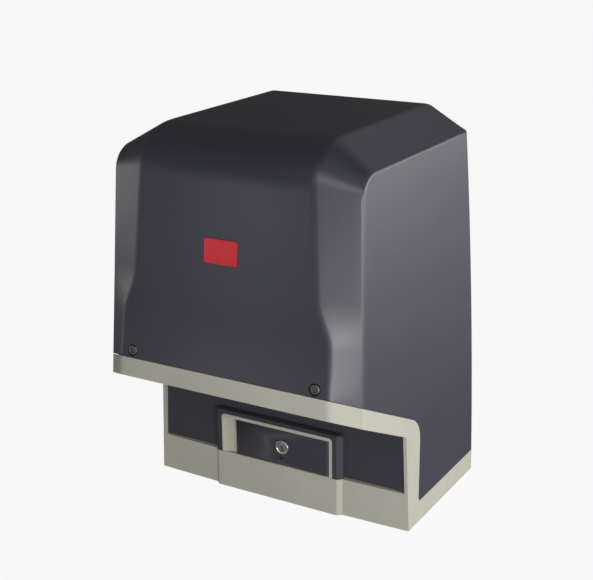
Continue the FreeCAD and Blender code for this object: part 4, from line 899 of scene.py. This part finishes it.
hood_colour = (0.026, 0.0255, 0.044)
base_colour = (0.50, 0.485, 0.415)
finishes = {}
finishes["hood_plastic"] = moulded("hood_satin", hood_colour, 0.41, 0.55, 0.03,
                                   Specular_IOR_Level=1.0)
finishes["panel_plastic"] = moulded("panel_satin", (0.042, 0.041, 0.055), 0.40, 0.5, 0.02,
                                    Specular_IOR_Level=0.7)
finishes["base_coating"] = moulded("base_grey", base_colour, 0.46, 0.6, 0.03, 0.05,
                                   (0.36, 0.33, 0.27), Specular_IOR_Level=0.4)


def enamel():
    made = Finish("plate_red", Coat_Weight=0.15, Coat_Roughness=0.15, Specular_IOR_Level=0.3)
    cloud = made.noise(5.0, 3.0)
    speck = made.noise(0.25, 2.0, 0.6)
    made.colour((0.58, 0.006, 0.018), (0.70, 0.010, 0.026), cloud)
    made.feed("Roughness", 0.24 + cloud * 0.08 + speck * 0.05)
    made.bump(speck, 0.012)
    return made.material


finishes["badge_red"] = enamel()

# %% [markdown]
# Metals. Cast aluminium keeps the grain of its mould, zinc-plated screws have a blue-grey cloud, turned
# steel shows fine lines round its axis, and the brass of the lock's plug has darkened with handling.

# %% Metal finishes
def metal(name, colour, rough, size, depth, variation=0.12, stretch=None, patina=None):
    made = Finish(name, Metallic=1.0)
    cloud = made.noise(size * 12, 3.0, 0.55)
    fine = made.noise(size, 4.0, 0.65, stretch)
    shade = cloud * 0.6 + fine * 0.4
    base = made.colour(lighter(colour, 1 - variation), lighter(colour, 1 + variation), shade)
    if patina:
        spots = made.noise(size * 5, 4.0, 0.7).above(0.56, 0.25)
        made.blend_colours(base, patina, spots * 0.55)
    made.feed("Roughness", rough - 0.06 + cloud * 0.08 + fine * 0.1)
    made.bump(fine, depth)
    return made.material


finishes["zinc_steel"] = metal("zinc_plated", (0.56, 0.58, 0.61), 0.3, 0.5, 0.008)
finishes["dark_screw"] = metal("blackened_screw", (0.20, 0.20, 0.205), 0.42, 0.5, 0.01)
finishes["lock_metal"] = metal("lock_nickel", (0.72, 0.71, 0.69), 0.26, 0.35, 0.006, 0.08)
finishes["plug_brass"] = metal("plug_copper_brown", (0.42, 0.22, 0.14), 0.34, 0.4, 0.008, 0.2, None,
                               (0.16, 0.07, 0.05))
finishes["cast_aluminium"] = metal("sand_cast", (0.62, 0.63, 0.64), 0.5, 0.9, 0.10, 0.1)
finishes["steel"] = metal("machined_steel", (0.55, 0.54, 0.52), 0.28, 0.6, 0.01, 0.1, (1, 8, 1))
finishes["bronze"] = metal("wheel_bronze", (0.62, 0.42, 0.18), 0.36, 0.7, 0.02, 0.15, None,
                           (0.30, 0.17, 0.07))
finishes["copper"] = metal("commutator_copper", (0.80, 0.42, 0.27), 0.3, 0.5, 0.01, 0.12)
finishes["magnet"] = metal("ferrite", (0.07, 0.07, 0.075), 0.6, 0.6, 0.03, 0.2)

# %% [markdown]
# The rest of the works: rubber, gasket fibre, circuit board with its copper showing faintly through the
# green lacquer, terminal blocks, winding tape and the small display.

# %% Inner finishes
def soft_or_hard(name, colour, rough, size, depth, variation=0.14, **constants):
    made = Finish(name, **constants)
    cloud = made.noise(size * 15, 2.0)
    fine = made.noise(size, 4.0, 0.65)
    made.colour(lighter(colour, 1 - variation), lighter(colour, 1 + variation), cloud * 0.5 + fine * 0.5)
    made.feed("Roughness", rough - 0.05 + cloud * 0.08 + fine * 0.05)
    made.bump(fine, depth)
    return made.material


finishes["rubber"] = soft_or_hard("black_rubber", (0.022, 0.022, 0.023), 0.66, 0.4, 0.03)
finishes["gasket_fibre"] = soft_or_hard("gasket", (0.16, 0.15, 0.12), 0.85, 0.25, 0.05, 0.3)
finishes["black_plastic"] = soft_or_hard("black_moulding", (0.03, 0.03, 0.032), 0.42, 0.35, 0.015)
finishes["grey_plastic"] = soft_or_hard("grey_moulding", (0.30, 0.31, 0.32), 0.46, 0.4, 0.015)
finishes["terminal_green"] = soft_or_hard("terminal_block", (0.03, 0.26, 0.10), 0.4, 0.4, 0.012)


def circuit_board():
    made = Finish("circuit_board", Coat_Weight=0.35, Coat_Roughness=0.12)
    tracks = made.node("ShaderNodeTexBrick", "Fac", {"Vector": made.stretched((1, 1, 1))},
                       {"Scale": 220.0, "Mortar Size": 0.06, "Brick Width": 0.9, "Row Height": 0.35})
    cloud = made.noise(6.0, 2.0)
    base = made.colour((0.012, 0.105, 0.045), (0.02, 0.15, 0.06), cloud)
    made.blend_colours(base, (0.09, 0.20, 0.06), tracks * 0.6)
    made.feed("Roughness", 0.3 + cloud * 0.1)
    made.bump(tracks, 0.03)
    return made.material


def tape():
    made = Finish("winding_tape")
    weave = made.node("ShaderNodeTexWave", "Fac", {"Vector": made.place},
                      {"Scale": 110.0, "Distortion": 0.8, "Detail": 1.0}, bands_direction="Z")
    fine = made.noise(0.5, 3.0)
    made.colour((0.42, 0.28, 0.08), (0.60, 0.42, 0.14), weave * 0.6 + fine * 0.4)
    made.feed("Roughness", 0.5 + fine * 0.12)
    made.bump(weave, 0.12)
    return made.material


def display():
    made = Finish("display_window", Coat_Weight=0.8, Coat_Roughness=0.05)
    cloud = made.noise(3.0)
    made.colour((0.012, 0.016, 0.014), (0.02, 0.028, 0.024), cloud)
    made.feed("Roughness", 0.12 + cloud * 0.08)
    made.bump(cloud, 0.01)
    return made.material


finishes["board_green"] = circuit_board()
finishes["winding_tape"] = tape()
finishes["display_glass"] = display()

# %% [markdown]
# Every part of the works keeps its own finish, by the name of the material that the construction gives it.

# %% Finish the works
slot_of = {row["node"]: row["material_slot"] for row in frame["record"]["subparts"]}
for name, node in nodes.items():
    node.data.materials.clear()
    node.data.materials.append(finishes[slot_of[name]])
print("finishes", len(finishes), "for", len(nodes), "nodes")


def install(obj, body, slot_name, *stands_for):
    """Gives a made piece its finish and its body, and hides the nodes it stands for."""
    obj.data.materials.clear()
    obj.data.materials.append(finishes[slot_name])
    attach(obj, body)
    if stands_for:
        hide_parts(*stands_for)
    return obj


install(hood, "cover", "hood_plastic", "hood")
install(badge, "cover", "badge_red", "badge_plate")
install(screws, "cover", "zinc_steel", "hood_screws")
screws.data.materials[0] = finishes["dark_screw"]
install(base, "root", "base_coating", "base_shell")
install(panel, "root", "panel_plastic", "front_panel")
install(rim, "root", "base_coating", "release_frame")
install(door, "door", "panel_plastic", "release_door")
install(housing, "door", "lock_metal", "lock_housing")
install(plug, "lock", "lock_metal", "lock_plug")
install(tumblers, "lock", "plug_brass")

# %% [markdown]
# The studio: a pale floor that runs out of sight, a dim even room, and a ring of soft lamps that stand low.
# The strongest are to the right, one toward the back for the sheen of the side and one toward the front
# for the corner facets; the front and the left get weak ones.

# %% Studio
def floor_plane():
    bm = bmesh.new()
    bmesh.ops.create_grid(bm, x_segments=2, y_segments=2, size=6.0)
    bmesh.ops.translate(bm, verts=bm.verts, vec=(0, 0, cad_box[0][2] - 0.0005))
    made = as_object(bm, "studio_floor")
    finish = Finish("floor_paper", Roughness=0.9)
    cloud = finish.noise(400.0, 2.0)
    finish.colour((0.33, 0.33, 0.33), (0.36, 0.36, 0.36), cloud)
    seen_white = finish.node("ShaderNodeEmission", 0, values={"Color": (1, 1, 1, 1), "Strength": 1.0})
    camera_ray = finish.node("ShaderNodeLightPath", "Is Camera Ray")
    mixed = finish.node("ShaderNodeMixShader", 0, {0: camera_ray * 0.93, 2: seen_white})
    finish.tree.links.new(finish.shader.outputs[0], mixed.socket.node.inputs[1])
    finish.tree.links.new(mixed.socket, finish.tree.nodes["Material Output"].inputs["Surface"])
    made.data.materials.append(finish.material)


floor_plane()


def soft_lamp(name, place, target, width, height, power, colour=(1, 1, 1)):
    lamp = bpy.data.lights.new(name, "AREA")
    lamp.shape = "RECTANGLE"
    lamp.size = width
    lamp.size_y = height
    lamp.energy = power
    lamp.color = colour
    holder = bpy.data.objects.new(name, lamp)
    holder.location = place
    aim = Vector(target) - Vector(place)
    holder.rotation_euler = aim.to_track_quat("-Z", "Y").to_euler()
    bpy.context.scene.collection.objects.link(holder)


aim = Vector((0, -0.06, 0.17))


def around(azimuth, elevation, distance=1.5):
    """A place on the ring of lamps; azimuth runs from the right-hand side toward the front."""
    a, e = math.radians(azimuth), math.radians(elevation)
    return aim + distance * Vector((math.cos(e) * math.cos(a), -math.cos(e) * math.sin(a), math.sin(e)))


soft_lamp("back_low", around(-35, 4), aim, 0.5, 0.4, 7.6)
soft_lamp("back_high", around(-60, 6), aim, 0.5, 0.4, 1.6)
soft_lamp("side_low", around(5, 4), aim, 0.5, 0.4, 7.0)
soft_lamp("side_high", around(20, 55), aim, 0.5, 0.4, 1.1)
soft_lamp("corner_low", around(38, 2), aim, 0.4, 0.3, 3.0)
soft_lamp("right_front", around(55, 1), aim, 0.4, 0.3, 7.2)
soft_lamp("front_high", around(74, 33), aim, 0.35, 0.2, 2.2)
soft_lamp("left_front", around(117, -2), aim, 0.45, 0.2, 0.8)
soft_lamp("left_soft", around(168, 0), aim, 0.4, 0.3, 1.6)
soft_lamp("rear_top", (0, 1.2, 1.2), aim, 0.8, 0.6, 0.5)

world = bpy.data.worlds.new("studio_room")
bpy.context.scene.world = world
world.use_nodes = True
room = world.node_tree
backdrop = room.nodes["Background"]
backdrop.inputs["Color"].default_value = (1, 1, 1, 1)
backdrop.inputs["Strength"].default_value = 0.10
seen = room.nodes.new("ShaderNodeBackground")
seen.inputs["Color"].default_value = (1, 1, 1, 1)
seen.inputs["Strength"].default_value = 1.0
path = room.nodes.new("ShaderNodeLightPath")
choose = room.nodes.new("ShaderNodeMixShader")
room.links.new(path.outputs["Is Camera Ray"], choose.inputs["Fac"])
room.links.new(backdrop.outputs["Background"], choose.inputs[1])
room.links.new(seen.outputs["Background"], choose.inputs[2])
room.links.new(choose.outputs["Shader"], room.nodes["World Output"].inputs["Surface"])
bpy.context.scene.view_settings.view_transform = "Standard"

# %% [markdown]
# The camera looks down on the front and the right-hand side, from about a metre away.

# %% Camera
camera_place = Vector((0.5096, -0.9009, 0.5174))
camera_yaw = math.radians(30.502)
camera_pitch = math.radians(18.486)
camera_roll = math.radians(-0.63)
camera_lens = 75.21

look = Vector((-math.sin(camera_yaw) * math.cos(camera_pitch),
               math.cos(camera_yaw) * math.cos(camera_pitch), -math.sin(camera_pitch)))
across = look.cross(Vector((0, 0, 1))).normalized()
upward = across.cross(look)
right = across * math.cos(camera_roll) + upward * math.sin(camera_roll)
above = upward * math.cos(camera_roll) - across * math.sin(camera_roll)
lens = bpy.data.cameras.new("camera")
lens.lens = camera_lens
lens.sensor_width = 36.0
camera = bpy.data.objects.new("camera", lens)
axes = Matrix((right, above, -look)).transposed().to_4x4()
camera.matrix_world = Matrix.Translation(camera_place) @ axes
bpy.context.scene.collection.objects.link(camera)
bpy.context.scene.camera = camera
